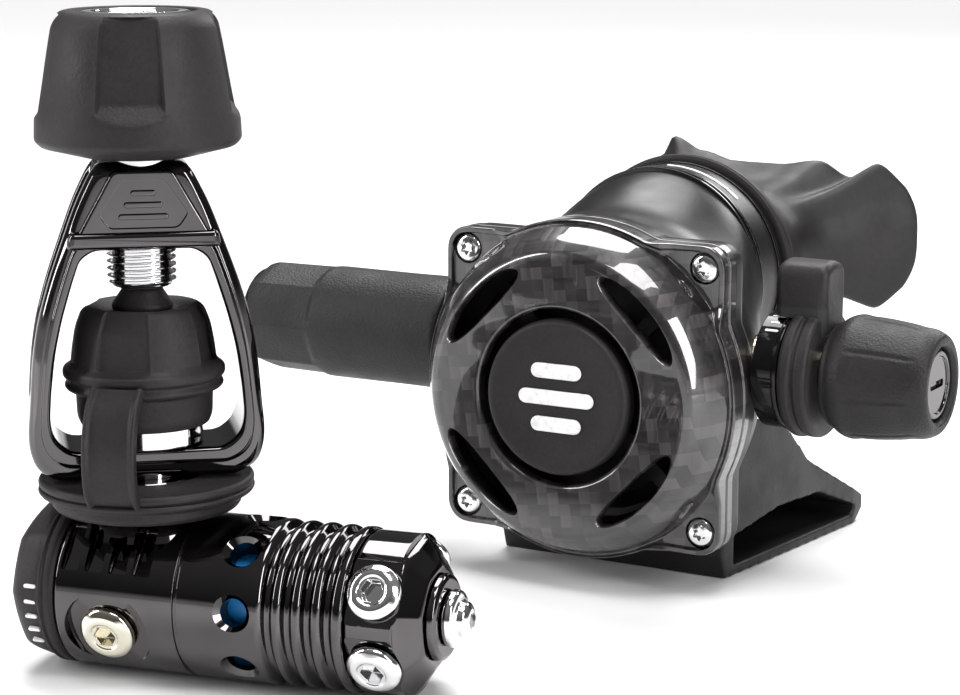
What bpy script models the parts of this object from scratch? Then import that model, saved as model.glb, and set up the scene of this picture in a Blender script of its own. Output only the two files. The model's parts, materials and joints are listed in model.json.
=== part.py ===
"""Scuba regulator set: a yoke first stage and a demand second stage.

Metres, +Z up. The second stage faces -Y with its valve axis along +X.
The first stage stands in front of it, turned FIRST_TURN about Z.
All the dimensions in the functions below are in millimetres.
"""
import math

import bmesh
import bpy
from mathutils import Matrix, Vector

MM = 0.001
GAP = 0.3                                # clearance between touching pieces

# Layout: where the two assemblies stand, measured in the object's own frame.
FIRST_AT = Vector((-42.0, -98.72, 0.0))   # yoke axis of the first stage
FIRST_TURN = math.radians(10.2)          # barrel axis, from +X towards +Y
YOKE_TURN = math.radians(31.0)           # yoke's broad face, from the barrel
CAP_TURN = math.radians(5.6)             # dust cap and strap, from the barrel
STAGE_AT = Vector((10.7, 14.88, 50.0))   # centre of the cover's screw square

# First stage
BARREL_R = 18.7                          # barrel radius and axis height
BORE_R = 13.2
CAP_START = -28.0
BODY_START = -14.7
BODY_END = 55.0
TURRET_END = 71.0
TURRET_R = 18.1
HOLE_X = 29.0                            # ring of ambient-water holes
HOLE_COUNT = 8
HOLE_FIRST = math.radians(5.0)
LP_ANGLES = (30.0, -28.0, 150.0, 208.0)  # turret ports, from the front, upwards
LP_X = 61.5
SIDE_X = -2.0
SIDE_ANGLES = (-20.0, 200.0)
NECK_R = 12.3
NECK_TOP = 45.7
YOKE_BASE = 46.0
YOKE_DEPTH = 20.0
YOKE_TOP = 117.2
WINDOW_BOTTOM = 53.0
WINDOW_TOP = 98.0
SCREW_R = 7.8
SCREW_BOTTOM = 88.6
THREAD_PITCH = 1.6
KNOB_BOTTOM = 118.0
KNOB_TOP = 150.0
CAP_TOP = 83.2                           # dust cap's dish, under the screw tip

# Second stage
RIM_R = 43.6
FACE_R = 36.0
FACE_Y = -15.0
SCREW_SQUARE = 33.5                      # half of the cover's screw square
SLOT_R = 30.7                            # middle of a slot, from the centre
SLOT_HALF_LENGTH = 14.0
SLOT_HALF_WIDTH = 3.4
BUTTON_R = 19.8
BUTTON_HOLE_R = 22.4
VALVE_Y = 18.0                           # valve axis, behind and above centre
VALVE_Z = 6.5
VALVE_R = 7.5
BARREL_END = 60.4                        # valve barrel, under the knob's lip
LEVER_X = -10.0                          # demand lever's pivot
LEVER_Y = 11.6
COLLAR_R = 15.0
KNOB_START = 66.0
KNOB_END = 88.6
SLEEVE_START = -110.0
SLEEVE_END = -46.6                       # the sleeve also covers the shoulder
NUT_END = -56.0
MOUTH_Z = 22.0                           # mouth tube's axis above centre
MOUTH_R = 29.5
CASE_WALL = 2.2
EXHAUST_Y = 32.0
EXHAUST_Z = -36.5                        # seat of the exhaust valve
TEE_FRONT = 17.0
TEE_BACK = 92.0
TEE_HALF = 40.0


# ---------------------------------------------------------------- helpers

def clear_scene():
    """Remove every object that the file starts with."""
    for obj in list(bpy.data.objects):
        bpy.data.objects.remove(obj, do_unlink=True)


def material(name, colour, roughness, metallic=0.0):
    """Principled material with one colour."""
    mat = bpy.data.materials.get(name) or bpy.data.materials.new(name)
    mat.use_nodes = True
    shader = mat.node_tree.nodes["Principled BSDF"]
    shader.inputs["Base Color"].default_value = (*colour, 1.0)
    shader.inputs["Roughness"].default_value = roughness
    shader.inputs["Metallic"].default_value = metallic
    mat.diffuse_color = (*colour, 1.0)
    return mat


def dark_chrome():
    return material("dark_chrome", (0.10, 0.095, 0.095), 0.12, 1.0)


def bright_chrome():
    return material("bright_chrome", (0.80, 0.80, 0.80), 0.15, 1.0)


def steel():
    return material("stainless_steel", (0.60, 0.60, 0.60), 0.30, 1.0)


def brass():
    return material("plated_brass", (0.65, 0.60, 0.50), 0.25, 1.0)


def rubber():
    return material("dark_rubber", (0.055, 0.050, 0.053), 0.65)


def silicone():
    return material("black_silicone", (0.045, 0.040, 0.043), 0.45)


def plastic():
    return material("black_plastic", (0.020, 0.018, 0.019), 0.40)


def gloss_plastic():
    return material("gloss_black", (0.012, 0.011, 0.012), 0.10)


def carbon():
    return material("carbon_laminate", (0.045, 0.042, 0.042), 0.12)


def blue_plastic():
    return material("blue_plastic", (0.02, 0.20, 0.50), 0.35)


def empty(name, at, turn=0.0, parent=None):
    """Empty that carries an assembly or marks a joint's axis."""
    node = bpy.data.objects.new(name, None)
    node.empty_display_size = 0.01
    node.location = Vector(at) * MM
    node.rotation_euler = (0.0, 0.0, turn)
    node.parent = parent
    bpy.context.collection.objects.link(node)
    return node


def add_mesh(name, points, faces, mat, parent):
    """Object from points in millimetres, its faces turned outwards."""
    bm = bmesh.new()
    verts = [bm.verts.new(Vector(p) * MM) for p in points]
    for face in faces:
        bm.faces.new([verts[i] for i in face])
    bmesh.ops.recalc_face_normals(bm, faces=bm.faces)
    mesh = bpy.data.meshes.new(name)
    bm.to_mesh(mesh)
    bm.free()
    mesh.materials.append(mat)
    mesh.shade_smooth()
    mesh.set_sharp_from_angle(angle=math.radians(32.0))
    obj = bpy.data.objects.new(name, mesh)
    obj.parent = parent
    bpy.context.collection.objects.link(obj)
    return obj


def loft(name, rings, mat, parent, loop=False):
    """Skin over rings of equal length, capped at both ends or looped."""
    count = len(rings[0])
    points = [p for ring in rings for p in ring]
    faces = []
    spans = len(rings) if loop else len(rings) - 1
    for i in range(spans):
        a = i * count
        b = ((i + 1) % len(rings)) * count
        for j in range(count):
            k = (j + 1) % count
            faces.append((a + j, a + k, b + k, b + j))
    if not loop:
        faces.append(tuple(range(count)))
        faces.append(tuple(range(len(points) - count, len(points))))
    return add_mesh(name, points, faces, mat, parent)


def along(axis, u, v, w):
    """Point with u, v across the axis and w along it."""
    if axis == "X":
        return (w, u, v)
    if axis == "Y":
        return (v, w, u)
    return (u, v, w)


def circle(radius, w, axis="Z", centre=(0.0, 0.0), segments=20, swell=None):
    """Ring of points round an axis; swell scales the radius by angle."""
    ring = []
    for i in range(segments):
        angle = 2.0 * math.pi * i / segments
        r = radius * (swell(angle) if swell else 1.0)
        u = centre[0] + r * math.cos(angle)
        v = centre[1] + r * math.sin(angle)
        ring.append(along(axis, u, v, w))
    return ring


def turned(name, profile, mat, parent, axis="Z", centre=(0.0, 0.0),
           segments=20, loop=False, swell=None):
    """Turned piece: profile is (radius, distance along the axis)."""
    rings = [circle(r, w, axis, centre, segments, swell) for r, w in profile]
    return loft(name, rings, mat, parent, loop)


def ring_piece(name, inner, outer, start, end, mat, parent, axis="Z",
               centre=(0.0, 0.0), segments=20):
    """Plain ring or tube."""
    profile = [(outer, start), (outer, end), (inner, end), (inner, start)]
    return turned(name, profile, mat, parent, axis, centre, segments, True)


def prism(name, outline, start, end, mat, parent, axis="Y"):
    """Outline extruded along an axis; outline points are (u, v)."""
    rings = [[along(axis, u, v, w) for u, v in outline] for w in (start, end)]
    return loft(name, rings, mat, parent)


def block(name, low, high, mat, parent):
    """Rectangular block between two corners."""
    outline = [(low[0], low[1]), (high[0], low[1]),
               (high[0], high[1]), (low[0], high[1])]
    return prism(name, outline, low[2], high[2], mat, parent, "Z")


def shape(target, tool, operation):
    """Cut or join with a tool that is not a piece of the object."""
    tool.hide_render = True
    tool.display_type = "WIRE"
    mod = target.modifiers.new(tool.name, "BOOLEAN")
    mod.operation = operation
    mod.solver = "EXACT"
    mod.object = tool


def cut(target, tool):
    shape(target, tool, "DIFFERENCE")


def join(target, tool):
    shape(target, tool, "UNION")


def radial_frame(angle_deg, x, z_axis):
    """Matrix with +Z pointing out of the barrel at an angle from -Y."""
    angle = math.radians(angle_deg)
    out = Vector((0.0, -math.cos(angle), math.sin(angle)))
    side = Vector((1.0, 0.0, 0.0))
    third = out.cross(side)
    rot = Matrix((side, third, out)).transposed().to_4x4()
    return Matrix.Translation(Vector((x, 0.0, z_axis)) * MM) @ rot


def spring(name, coil_r, wire_r, turns, start, end, mat, parent, axis="Z",
           centre=(0.0, 0.0), steps=12, sides=6):
    """Helical compression spring."""
    rings = []
    total = turns * steps
    for i in range(total + 1):
        angle = 2.0 * math.pi * i / steps
        w = start + (end - start) * i / total
        ring = []
        for j in range(sides):
            a = 2.0 * math.pi * j / sides
            r = coil_r + wire_r * math.cos(a)
            u = centre[0] + r * math.cos(angle)
            v = centre[1] + r * math.sin(angle)
            ring.append(along(axis, u, v, w + wire_r * math.sin(a)))
        rings.append(ring)
    return loft(name, rings, mat, parent)


def hex_points(across, w, axis="Z", turn=0.0):
    """Hexagon given by the distance across its flats."""
    r = across / math.sqrt(3.0)
    ring = []
    for i in range(6):
        angle = turn + math.pi * i / 3.0
        ring.append(along(axis, r * math.cos(angle), r * math.sin(angle), w))
    return ring


# ---------------------------------------------------------- first stage

def barrel_profile():
    """Closed section of the barrel: outside left to right, then the bore."""
    r = BARREL_R
    outer = [(r - 1.0, BODY_START), (r, BODY_START + 1.0), (r, 36.0)]
    for i in range(4):
        left = 36.0 + 4.2 * i
        outer += [(r - 1.6, left + 0.5), (r - 1.6, left + 1.9),
                  (r, left + 2.4)]
    outer += [(r, BODY_END - 1.0), (r - 1.0, BODY_END)]
    inner = [(8.0, BODY_END), (8.0, BODY_END - 4.0), (BORE_R, BODY_END - 4.0),
             (BORE_R, -8.0), (7.0, -8.0), (7.0, BODY_START)]
    return outer + inner


def make_main_body(first):
    """Barrel with its neck, ports, ambient holes and ribbed grips."""
    centre = (0.0, BARREL_R)
    body = turned("main_body", barrel_profile(), dark_chrome(), first, "X",
                  centre, 24, True)
    neck = turned("neck_tool", [(NECK_R, 33.0), (NECK_R, NECK_TOP)],
                  dark_chrome(), first)
    join(body, neck)
    inlet = turned("inlet_bore_tool", [(8.4, 28.0), (8.4, NECK_TOP + 1.0)],
                   dark_chrome(), first)
    cut(body, inlet)
    for i in range(HOLE_COUNT):
        angle = math.degrees(HOLE_FIRST) + 360.0 * i / HOLE_COUNT
        hole = turned(f"ambient_hole_tool_{i + 1}", [(3.3, 10.0), (3.3, 22.0)],
                      dark_chrome(), first, segments=8)
        hole.matrix_local = radial_frame(angle, HOLE_X, BARREL_R)
        cut(body, hole)
    for i, angle in enumerate(SIDE_ANGLES):
        seat = turned(f"side_port_tool_{i + 1}",
                      [(4.6, 8.0), (4.6, 16.9), (9.8, 16.9), (9.8, 24.0)],
                      dark_chrome(), first, segments=16)
        seat.matrix_local = radial_frame(angle, SIDE_X, BARREL_R)
        cut(body, seat)
    for i in range(4):
        slot = block(f"grip_tool_{i + 1}", (-2.3, -5.5, 17.3), (2.3, 5.5, 20.0),
                     dark_chrome(), first)
        slot.matrix_local = radial_frame(38.0, -11.0 + 6.2 * i, BARREL_R)
        cut(body, slot)
    return body


def make_end_cap(first):
    """Rubber bumper cap on the closed end of the barrel."""
    profile = [(10.0, CAP_START), (15.0, CAP_START + 0.6),
               (18.0, CAP_START + 3.0), (19.0, CAP_START + 6.5),
               (19.0, BODY_START - 1.2), (18.4, BODY_START - GAP)]
    turned("end_cap", profile, rubber(), first, "X", (0.0, 19.2))


def make_plug(name, head_r, head_from, head_to, shank_r, shank_from, parent,
              frame):
    """Port plug with a hexagon socket, pointing out of the barrel."""
    profile = [(shank_r, shank_from), (shank_r, head_from),
               (head_r, head_from), (head_r, head_to - 0.6),
               (head_r - 0.6, head_to)]
    plug = turned(name, profile, bright_chrome(), parent, segments=12)
    socket = loft(name + "_socket_tool",
                  [hex_points(4.8, head_to - 2.6), hex_points(4.8, head_to + 1)],
                  bright_chrome(), parent)
    plug.matrix_local = frame
    socket.matrix_local = frame
    cut(plug, socket)


def make_side_plugs(first):
    for name, angle in zip(("side_plug_front", "side_plug_rear"), SIDE_ANGLES):
        make_plug(name, 6.4, 16.9 + GAP, 19.9, 4.3, 14.0, first,
                  radial_frame(angle, SIDE_X, BARREL_R))


def make_turret(turret):
    """Swivel turret with four radial ports and one in its end."""
    r = TURRET_R
    profile = [(r - 0.8, BODY_END + GAP), (r, BODY_END + 1.1),
               (r, TURRET_END - 5.0), (r - 0.8, TURRET_END - 4.0),
               (11.5, TURRET_END), (8.0, TURRET_END),
               (8.0, BODY_END + 3.0), (8.4, BODY_END + 3.0),
               (8.4, BODY_END + GAP)]
    body = turned("lp_turret", profile, dark_chrome(), turret, "X",
                  segments=20, loop=True)
    for i, angle in enumerate(LP_ANGLES):
        seat = turned(f"lp_port_tool_{i + 1}",
                      [(4.0, 6.0), (4.0, 16.4), (7.0, 16.4), (7.0, 22.0)],
                      dark_chrome(), turret, segments=12)
        seat.matrix_local = radial_frame(angle, LP_X, 0.0)
        cut(body, seat)


def make_turret_pieces(turret):
    """Plugs, the swivel retainer and its O-ring, which turn together."""
    for i, angle in enumerate(LP_ANGLES):
        make_plug(f"lp_plug_{i + 1}", 6.2, 16.4 + GAP, 20.0, 3.7, 11.5,
                  turret, radial_frame(angle, LP_X, 0.0))
    retainer = [(7.6, BODY_END + 3.4), (7.6, TURRET_END + GAP),
                (9.8, TURRET_END + GAP), (9.0, TURRET_END + 2.2),
                (4.0, TURRET_END + 2.2), (4.0, BODY_END + 3.4)]
    turned("swivel_retainer", retainer, dark_chrome(), turret, "X",
           segments=18, loop=True)
    plug = [(3.7, BODY_END + 7.0), (3.7, TURRET_END + 2.5),
            (6.3, TURRET_END + 2.5), (6.3, TURRET_END + 4.4),
            (5.6, TURRET_END + 5.2), (2.6, TURRET_END + 5.2),
            (1.6, TURRET_END + 7.6)]
    turned("lp_plug_axial", plug, bright_chrome(), turret, "X", segments=14)


def make_ambient_bush(first):
    """Blue insulating bush that shows through the ambient holes."""
    ring_piece("ambient_bush", 12.0, BORE_R - GAP, 16.0, 42.0,
               blue_plastic(), first, "X", (0.0, BARREL_R))


def make_piston(piston):
    """Flow-through piston: head in the bore, hollow stem to its seat."""
    profile = [(4.0, -2.2), (4.0, 44.0), (11.6, 44.0), (11.6, 48.5),
               (2.0, 48.5), (2.0, -2.2)]
    turned("piston", profile, brass(), piston, "X", segments=16, loop=True)


def make_first_inside(first):
    """Main spring and the seat that the piston closes on."""
    spring("main_spring", 8.3, 1.3, 4, 6.0, 42.3, steel(), first, "X",
           (0.0, BARREL_R), steps=10, sides=5)
    seat = [(6.6, -12.5), (6.6, -6.0), (4.6, -3.8)]
    turned("piston_seat", seat, plastic(), first, "X", (0.0, BARREL_R), 14)


def yoke_outline():
    """Right half of the yoke's outer outline, bottom to top, mirrored."""
    half = [(20.0, YOKE_BASE), (24.4, 48.6), (26.2, 53.0), (26.4, 57.0),
            (25.8, 63.0), (25.0, 73.5), (23.6, 82.0), (21.0, 91.0),
            (18.3, 98.5), (14.8, 108.0), (11.4, 114.8), (9.6, YOKE_TOP)]
    return half + [(-x, z) for x, z in reversed(half)]


def window_outline():
    """Opening between the yoke's legs."""
    half = [(17.0, WINDOW_BOTTOM), (20.6, 56.0), (21.5, 60.0), (21.0, 67.0),
            (20.0, 75.0), (18.2, 83.0), (15.6, 91.5), (14.0, 96.0),
            (11.0, WINDOW_TOP)]
    return half + [(-x, z) for x, z in reversed(half)]


def make_yoke(yoke):
    """A-shaped yoke with a plate in front and behind, and two bores."""
    depth = YOKE_DEPTH / 2.0
    frame = prism("yoke", [(z, x) for x, z in yoke_outline()], -depth, depth,
                  dark_chrome(), yoke)
    window = prism("yoke_window_tool", [(z, x) for x, z in window_outline()],
                   -depth - 2.0, depth + 2.0, dark_chrome(), yoke)
    cut(frame, window)
    plate = [(-15.0, 100.0), (15.0, 100.0), (6.4, 115.6), (-6.4, 115.6)]
    boss = prism("yoke_plate_tool", [(z, x) for x, z in plate],
                 -depth - 1.2, depth + 1.2, dark_chrome(), yoke)
    join(frame, boss)
    badge = [(-9.7, 106.2), (-7.4, 102.4), (7.4, 102.4), (9.7, 106.2),
             (4.4, 113.8), (-4.4, 113.8)]
    for side in (-1.0, 1.0):
        near = side * (depth + 0.4)
        far = side * (depth + 3.0)
        recess = prism(f"badge_tool_{'front' if side < 0 else 'rear'}",
                       [(z, x) for x, z in badge], near, far, dark_chrome(),
                       yoke)
        cut(frame, recess)
    screw_bore = turned("screw_bore_tool", [(SCREW_R + GAP, WINDOW_TOP - 2.0),
                                            (SCREW_R + GAP, YOKE_TOP + 2.0)],
                        dark_chrome(), yoke)
    cut(frame, screw_bore)
    base_bore = turned("base_bore_tool", [(8.4, YOKE_BASE - 2.0),
                                          (8.4, WINDOW_BOTTOM + 2.0)],
                       dark_chrome(), yoke)
    cut(frame, base_bore)


def make_retainer(first):
    """Retainer that clamps the yoke, with filter and clip in its inlet."""
    profile = [(8.0, 37.0), (8.0, WINDOW_BOTTOM + GAP),
               (13.0, WINDOW_BOTTOM + GAP), (13.0, 58.0), (10.8, 58.6),
               (10.8, 64.0), (6.4, 64.0), (6.4, 56.0), (3.2, 56.0),
               (3.2, 37.0)]
    turned("yoke_retainer", profile, bright_chrome(), first, segments=20,
           loop=True)
    cone = [(5.9, 56.3), (5.9, 57.3), (2.4, 61.4)]
    turned("inlet_filter", cone, brass(), first, segments=14)
    ring_piece("filter_clip", 4.6, 6.1, 61.8, 62.6, steel(), first,
               segments=14)


def panel_swell(depth, turn):
    """Radius factor of a grip with four flattened panels."""
    def factor(angle):
        wave = max(0.0, math.cos(4.0 * (angle - turn)))
        return 1.0 - depth * wave
    return factor


def panelled(name, rows, mat, parent, turn, segments=20):
    """Loft of (radius, height, panel depth) rows round Z."""
    rings = [circle(r, z, segments=segments, swell=panel_swell(d, turn))
             for r, z, d in rows]
    return loft(name, rings, mat, parent)


def make_yoke_knob(knob):
    """Panelled rubber knob with a blind bore for the screw."""
    rows = [(12.5, KNOB_BOTTOM, 0.0), (22.0, 120.6, 0.0), (22.9, 121.8, 0.0),
            (22.6, 127.0, 0.01), (21.7, 131.5, 0.08), (20.6, 138.0, 0.09),
            (19.6, 143.5, 0.07), (18.6, 146.5, 0.0), (16.6, KNOB_TOP, 0.0)]
    grip = panelled("yoke_knob", rows, rubber(), knob, math.radians(-18.7))
    bore = turned("knob_bore_tool", [(SCREW_R + GAP, KNOB_BOTTOM - 1.0),
                                     (SCREW_R + GAP, 140.6)],
                  rubber(), knob)
    cut(grip, bore)
    recess = turned("knob_recess_tool", [(12.6, KNOB_TOP - 1.4),
                                         (13.2, KNOB_TOP + 1.0)],
                    rubber(), knob)
    cut(grip, recess)
    turned("knob_insert", [(12.2, KNOB_TOP - 1.1), (12.2, KNOB_TOP - 0.4),
                           (11.4, KNOB_TOP - 0.1)], steel(), knob)


def make_yoke_screw(knob):
    """Threaded clamp screw; the thread is drawn as rings at its pitch."""
    profile = [(5.6, SCREW_BOTTOM), (SCREW_R - 0.9, SCREW_BOTTOM + 1.2)]
    rings = 6
    for i in range(rings):
        z = SCREW_BOTTOM + 1.2 + THREAD_PITCH * i
        profile += [(SCREW_R, z + 0.7), (SCREW_R - 0.9, z + THREAD_PITCH)]
    profile += [(SCREW_R, 101.0), (SCREW_R, 140.0)]
    turned("yoke_screw", profile, bright_chrome(), knob, segments=16)


def make_screw_tip(tip):
    """Swivelling nub that presses on the dust cap or the valve."""
    profile = [(6.6, CAP_TOP + GAP), (6.8, CAP_TOP + 1.0),
               (4.8, SCREW_BOTTOM - 0.6), (4.6, SCREW_BOTTOM - GAP)]
    turned("screw_tip", profile, plastic(), tip, segments=16)


def make_dust_cap(cap):
    """Lobed dust cap that covers the retainer's inlet."""
    rows = [(15.0, 59.0, 0.0), (15.4, 65.4, 0.0), (18.0, 66.2, 0.0),
            (18.2, 70.6, 0.0), (16.6, 71.4, 0.02), (15.9, 75.0, 0.05),
            (15.0, 80.0, 0.06), (13.6, 83.6, 0.0), (12.4, 84.6, 0.0),
            (9.0, 84.2, 0.0), (7.4, CAP_TOP, 0.0)]
    body = panelled("dust_cap", rows, rubber(), cap, math.radians(-86.0))
    hollow = turned("dust_cap_tool", [(11.1, 57.0), (11.1, 66.4)],
                    rubber(), cap)
    skirt = turned("dust_skirt_tool", [(13.3, 57.0), (13.3, 58.9)],
                   rubber(), cap)
    cut(body, hollow)
    cut(body, skirt)


def strap_point(s):
    """Centre line of the tether: ring's front, up, and on to the cap."""
    path = [(-21.0, 44.0), (-25.4, 47.0), (-26.2, 53.0), (-25.0, 60.0),
            (-22.6, 64.8), (-20.0, 68.0)]
    i = min(int(s), len(path) - 2)
    t = s - i
    y = path[i][0] * (1.0 - t) + path[i + 1][0] * t
    z = path[i][1] * (1.0 - t) + path[i + 1][1] * t
    return y, z


def make_tether(cap):
    """Ring round the neck with the strap that holds the dust cap."""
    profile = [(21.0, 38.2), (21.4, 41.0), (24.3, 41.6), (24.3, 43.4),
               (23.7, 43.7), (24.3, 44.0), (24.0, 45.6), (NECK_R + 0.4, 45.6),
               (NECK_R + 0.4, 38.2)]
    ring = turned("dust_cap_tether", profile, rubber(), cap, segments=24,
                  loop=True)
    rings = []
    for i in range(11):
        y, z = strap_point(i * 0.5)
        ahead = strap_point(min(i * 0.5 + 0.25, 5.0))
        behind = strap_point(max(i * 0.5 - 0.25, 0.0))
        tangent = Vector((0.0, ahead[0] - behind[0], ahead[1] - behind[1]))
        normal = Vector((1.0, 0.0, 0.0)).cross(tangent).normalized() * 1.3
        ring_points = []
        for side, lift in ((-6.2, -1), (6.2, -1), (6.2, 1), (-6.2, 1)):
            ring_points.append((side, y + lift * normal.y,
                                z + lift * normal.z))
        rings.append(ring_points)
    strap = loft("strap_tool", rings, rubber(), cap)
    join(ring, strap)


# --------------------------------------------------------- second stage

def make_cover(stage):
    """Front cover: sloping face, rim, corner tabs and slanted slots."""
    profile = [(BUTTON_HOLE_R, FACE_Y), (FACE_R, FACE_Y),
               (38.6, FACE_Y + 3.6), (RIM_R, -3.0), (RIM_R, 5.0),
               (40.4, 5.0), (40.4, -1.0), (35.4, FACE_Y + 3.0),
               (BUTTON_HOLE_R, FACE_Y + 3.0)]
    cover = turned("front_cover", profile, carbon(), stage, "Y", segments=28,
                   loop=True)
    for i, (sx, sz) in enumerate(corners()):
        tab = turned(f"tab_tool_{i + 1}", [(7.2, 0.0), (7.2, 5.0)], carbon(),
                     stage, "Y", (sz * SCREW_SQUARE, sx * SCREW_SQUARE), 12)
        join(cover, tab)
    hollow = turned("cover_hollow_tool", [(40.4, -0.6), (40.4, 6.0)],
                    carbon(), stage, "Y", segments=28)
    cut(cover, hollow)
    for i, (sx, sz) in enumerate(corners()):
        hole = turned(f"screw_hole_tool_{i + 1}",
                      [(3.9, -1.0), (3.9, 2.4), (2.0, 2.4), (2.0, 6.0)],
                      carbon(), stage, "Y",
                      (sz * SCREW_SQUARE, sx * SCREW_SQUARE), 8)
        cut(cover, hole)
        slot = prism(f"slot_tool_{i + 1}", slot_outline(sx, sz), FACE_Y - 2.0,
                     FACE_Y + 5.0, carbon(), stage)
        cut(cover, slot)


def corners():
    """Signs of the four corners, clockwise from the upper left."""
    return ((-1, 1), (1, 1), (1, -1), (-1, -1))


def slot_outline(sx, sz, steps=12):
    """Oval slot across a diagonal, as (z, x) points."""
    half = math.sqrt(0.5)
    points = []
    for i in range(steps):
        angle = 2.0 * math.pi * i / steps
        out = SLOT_R + SLOT_HALF_WIDTH * math.cos(angle)
        side = SLOT_HALF_LENGTH * math.sin(angle)
        points.append((half * (sz * out + sx * side),
                       half * (sx * out - sz * side)))
    return points


def make_cover_screws(stage):
    """Four pan-head screws through the cover's tabs into the case."""
    for i, (sx, sz) in enumerate(corners()):
        profile = [(2.4, -1.6), (3.4, -0.9), (3.4, 2.1), (1.7, 2.1),
                   (1.7, 11.5)]
        turned(f"cover_screw_{i + 1}", profile, bright_chrome(), stage, "Y",
               (sz * SCREW_SQUARE, sx * SCREW_SQUARE), 10)


def make_purge(button):
    """Purge button disc with its rear boss."""
    profile = [(BUTTON_R - 1.6, FACE_Y - 0.6), (BUTTON_R - 0.4, FACE_Y - 0.2),
               (BUTTON_R, FACE_Y + 0.8), (BUTTON_R, FACE_Y + 3.6),
               (4.6, FACE_Y + 3.6), (4.6, 4.9)]
    turned("purge_button", profile, rubber(), button, "Y", segments=24)


def make_purge_spring(stage):
    """Spring between the button and the spider ring in front of the case."""
    spring("purge_spring", 9.0, 0.5, 3, FACE_Y + 4.5, -0.6, steel(), stage,
           "Y", steps=12, sides=4)


def make_guard(stage):
    """Spider ring that guards the diaphragm and seats the purge spring."""
    ring = ring_piece("diaphragm_guard", 34.0, 40.0, 0.4, 2.0, plastic(),
                      stage, "Y", segments=24)
    for i in range(2):
        bar = block(f"guard_bar_tool_{i + 1}", (-37.0, 0.4, -2.0),
                    (37.0, 2.0, 2.0), plastic(), stage)
        bar.rotation_euler = (0.0, math.pi * (0.25 + 0.5 * i), 0.0)
        join(ring, bar)
    hub = turned("guard_hub_tool", [(11.0, 0.4), (11.0, 2.0)], plastic(),
                 stage, "Y", segments=16)
    join(ring, hub)
    bore = turned("guard_bore_tool", [(6.0, -1.0), (6.0, 3.0)], plastic(),
                  stage, "Y", segments=12)
    cut(ring, bore)


def make_diaphragm(diaphragm):
    """Silicone diaphragm with a stiff centre disc."""
    profile = [(5.0, 5.2), (29.0, 5.3), (33.0, 6.6), (36.0, 5.6),
               (39.6, 5.6), (39.6, 7.0), (36.6, 7.0), (33.0, 8.0),
               (28.6, 6.7), (5.0, 6.4)]
    turned("diaphragm", profile, silicone(), diaphragm, "Y", segments=24)


def case_rings(inset):
    """Sections of the case from the front rim to the mouth tube."""
    rows = [(42.2, 0.0, 5.3), (42.2, 0.0, 15.0), (39.6, 4.0, 21.0),
            (36.0, 10.5, 28.0), (32.6, 17.0, 36.0), (MOUTH_R, MOUTH_Z, 44.0),
            (MOUTH_R, MOUTH_Z, 56.0)]
    return [circle(r - inset, y, "Y", (z, 0.0), 24) for r, z, y in rows]


def make_case(stage):
    """Case shell, open to the cover in front and to the mouth tube behind."""
    case = loft("case", case_rings(0.0), plastic(), stage)
    screws = [(sz * SCREW_SQUARE, sx * SCREW_SQUARE) for sx, sz in corners()]
    for i, at in enumerate(screws):
        lug = turned(f"lug_tool_{i + 1}", [(6.9, 5.3), (6.9, 15.0)],
                     plastic(), stage, "Y", at, 12)
        join(case, lug)
    boss = turned("exhaust_boss_tool", [(13.0, EXHAUST_Z), (13.0, -5.0)],
                  plastic(), stage, "Z", (0.0, EXHAUST_Y), 18)
    join(case, boss)
    inner = case_rings(CASE_WALL)
    start = [(x, y - 1.0, z) for x, y, z in inner[0]]
    end = [(x, y + 1.0, z) for x, y, z in inner[-1]]
    cavity = loft("case_cavity_tool", [start] + inner[1:-1] + [end],
                  plastic(), stage)
    cut(case, cavity)
    for i, at in enumerate(screws):
        hole = turned(f"lug_hole_tool_{i + 1}", [(2.0, 4.0), (2.0, 12.0)],
                      plastic(), stage, "Y", at, 8)
        cut(case, hole)
    bore = turned("valve_bore_tool", [(VALVE_R + GAP, -60.0),
                                      (VALVE_R + GAP, 60.0)],
                  plastic(), stage, "X", (VALVE_Y, VALVE_Z), 20)
    cut(case, bore)
    make_exhaust_port(case, stage)


def make_exhaust_port(case, stage):
    """Hole in the exhaust seat, crossed by a bar for the valve's stem."""
    at = (0.0, EXHAUST_Y)
    port = turned("exhaust_port_tool", [(9.0, EXHAUST_Z - 4.0), (9.0, -4.0)],
                  plastic(), stage, "Z", at, 14)
    bar = block("exhaust_bar_tool", (-10.0, EXHAUST_Y - 3.0, EXHAUST_Z + 2.0),
                (10.0, EXHAUST_Y + 3.0, EXHAUST_Z + 4.0), plastic(), stage)
    guide = turned("exhaust_guide_tool", [(1.6, EXHAUST_Z - 1.0),
                                          (1.6, EXHAUST_Z + 6.0)],
                   plastic(), stage, "Z", at, 8)
    cut(case, port)
    join(case, bar)
    cut(case, guide)


def make_valve(stage):
    """Valve barrel across the case, with its orifice and seat."""
    centre = (VALVE_Y, VALVE_Z)
    profile = [(VALVE_R, -46.0), (VALVE_R, BARREL_END), (6.2, BARREL_END),
               (6.2, -30.0), (4.6, -30.0), (4.6, -46.0)]
    barrel = turned("valve_barrel", profile, brass(), stage, "X", centre, 20,
                    True)
    slot = block("lever_slot_tool", (LEVER_X - 2.0, 4.0, VALVE_Z - 2.6),
                 (LEVER_X + 22.0, 12.4, VALVE_Z + 2.6), brass(), stage)
    cut(barrel, slot)
    orifice = [(4.3, -50.0), (4.3, -28.6), (3.2, -27.0), (1.6, -27.0),
               (1.6, -50.0)]
    turned("inlet_orifice", orifice, steel(), stage, "X", centre, 14, True)
    spring("poppet_spring", 4.4, 0.5, 5, 8.6, 30.0, steel(), stage, "X",
           centre, steps=8, sides=4)


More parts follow.
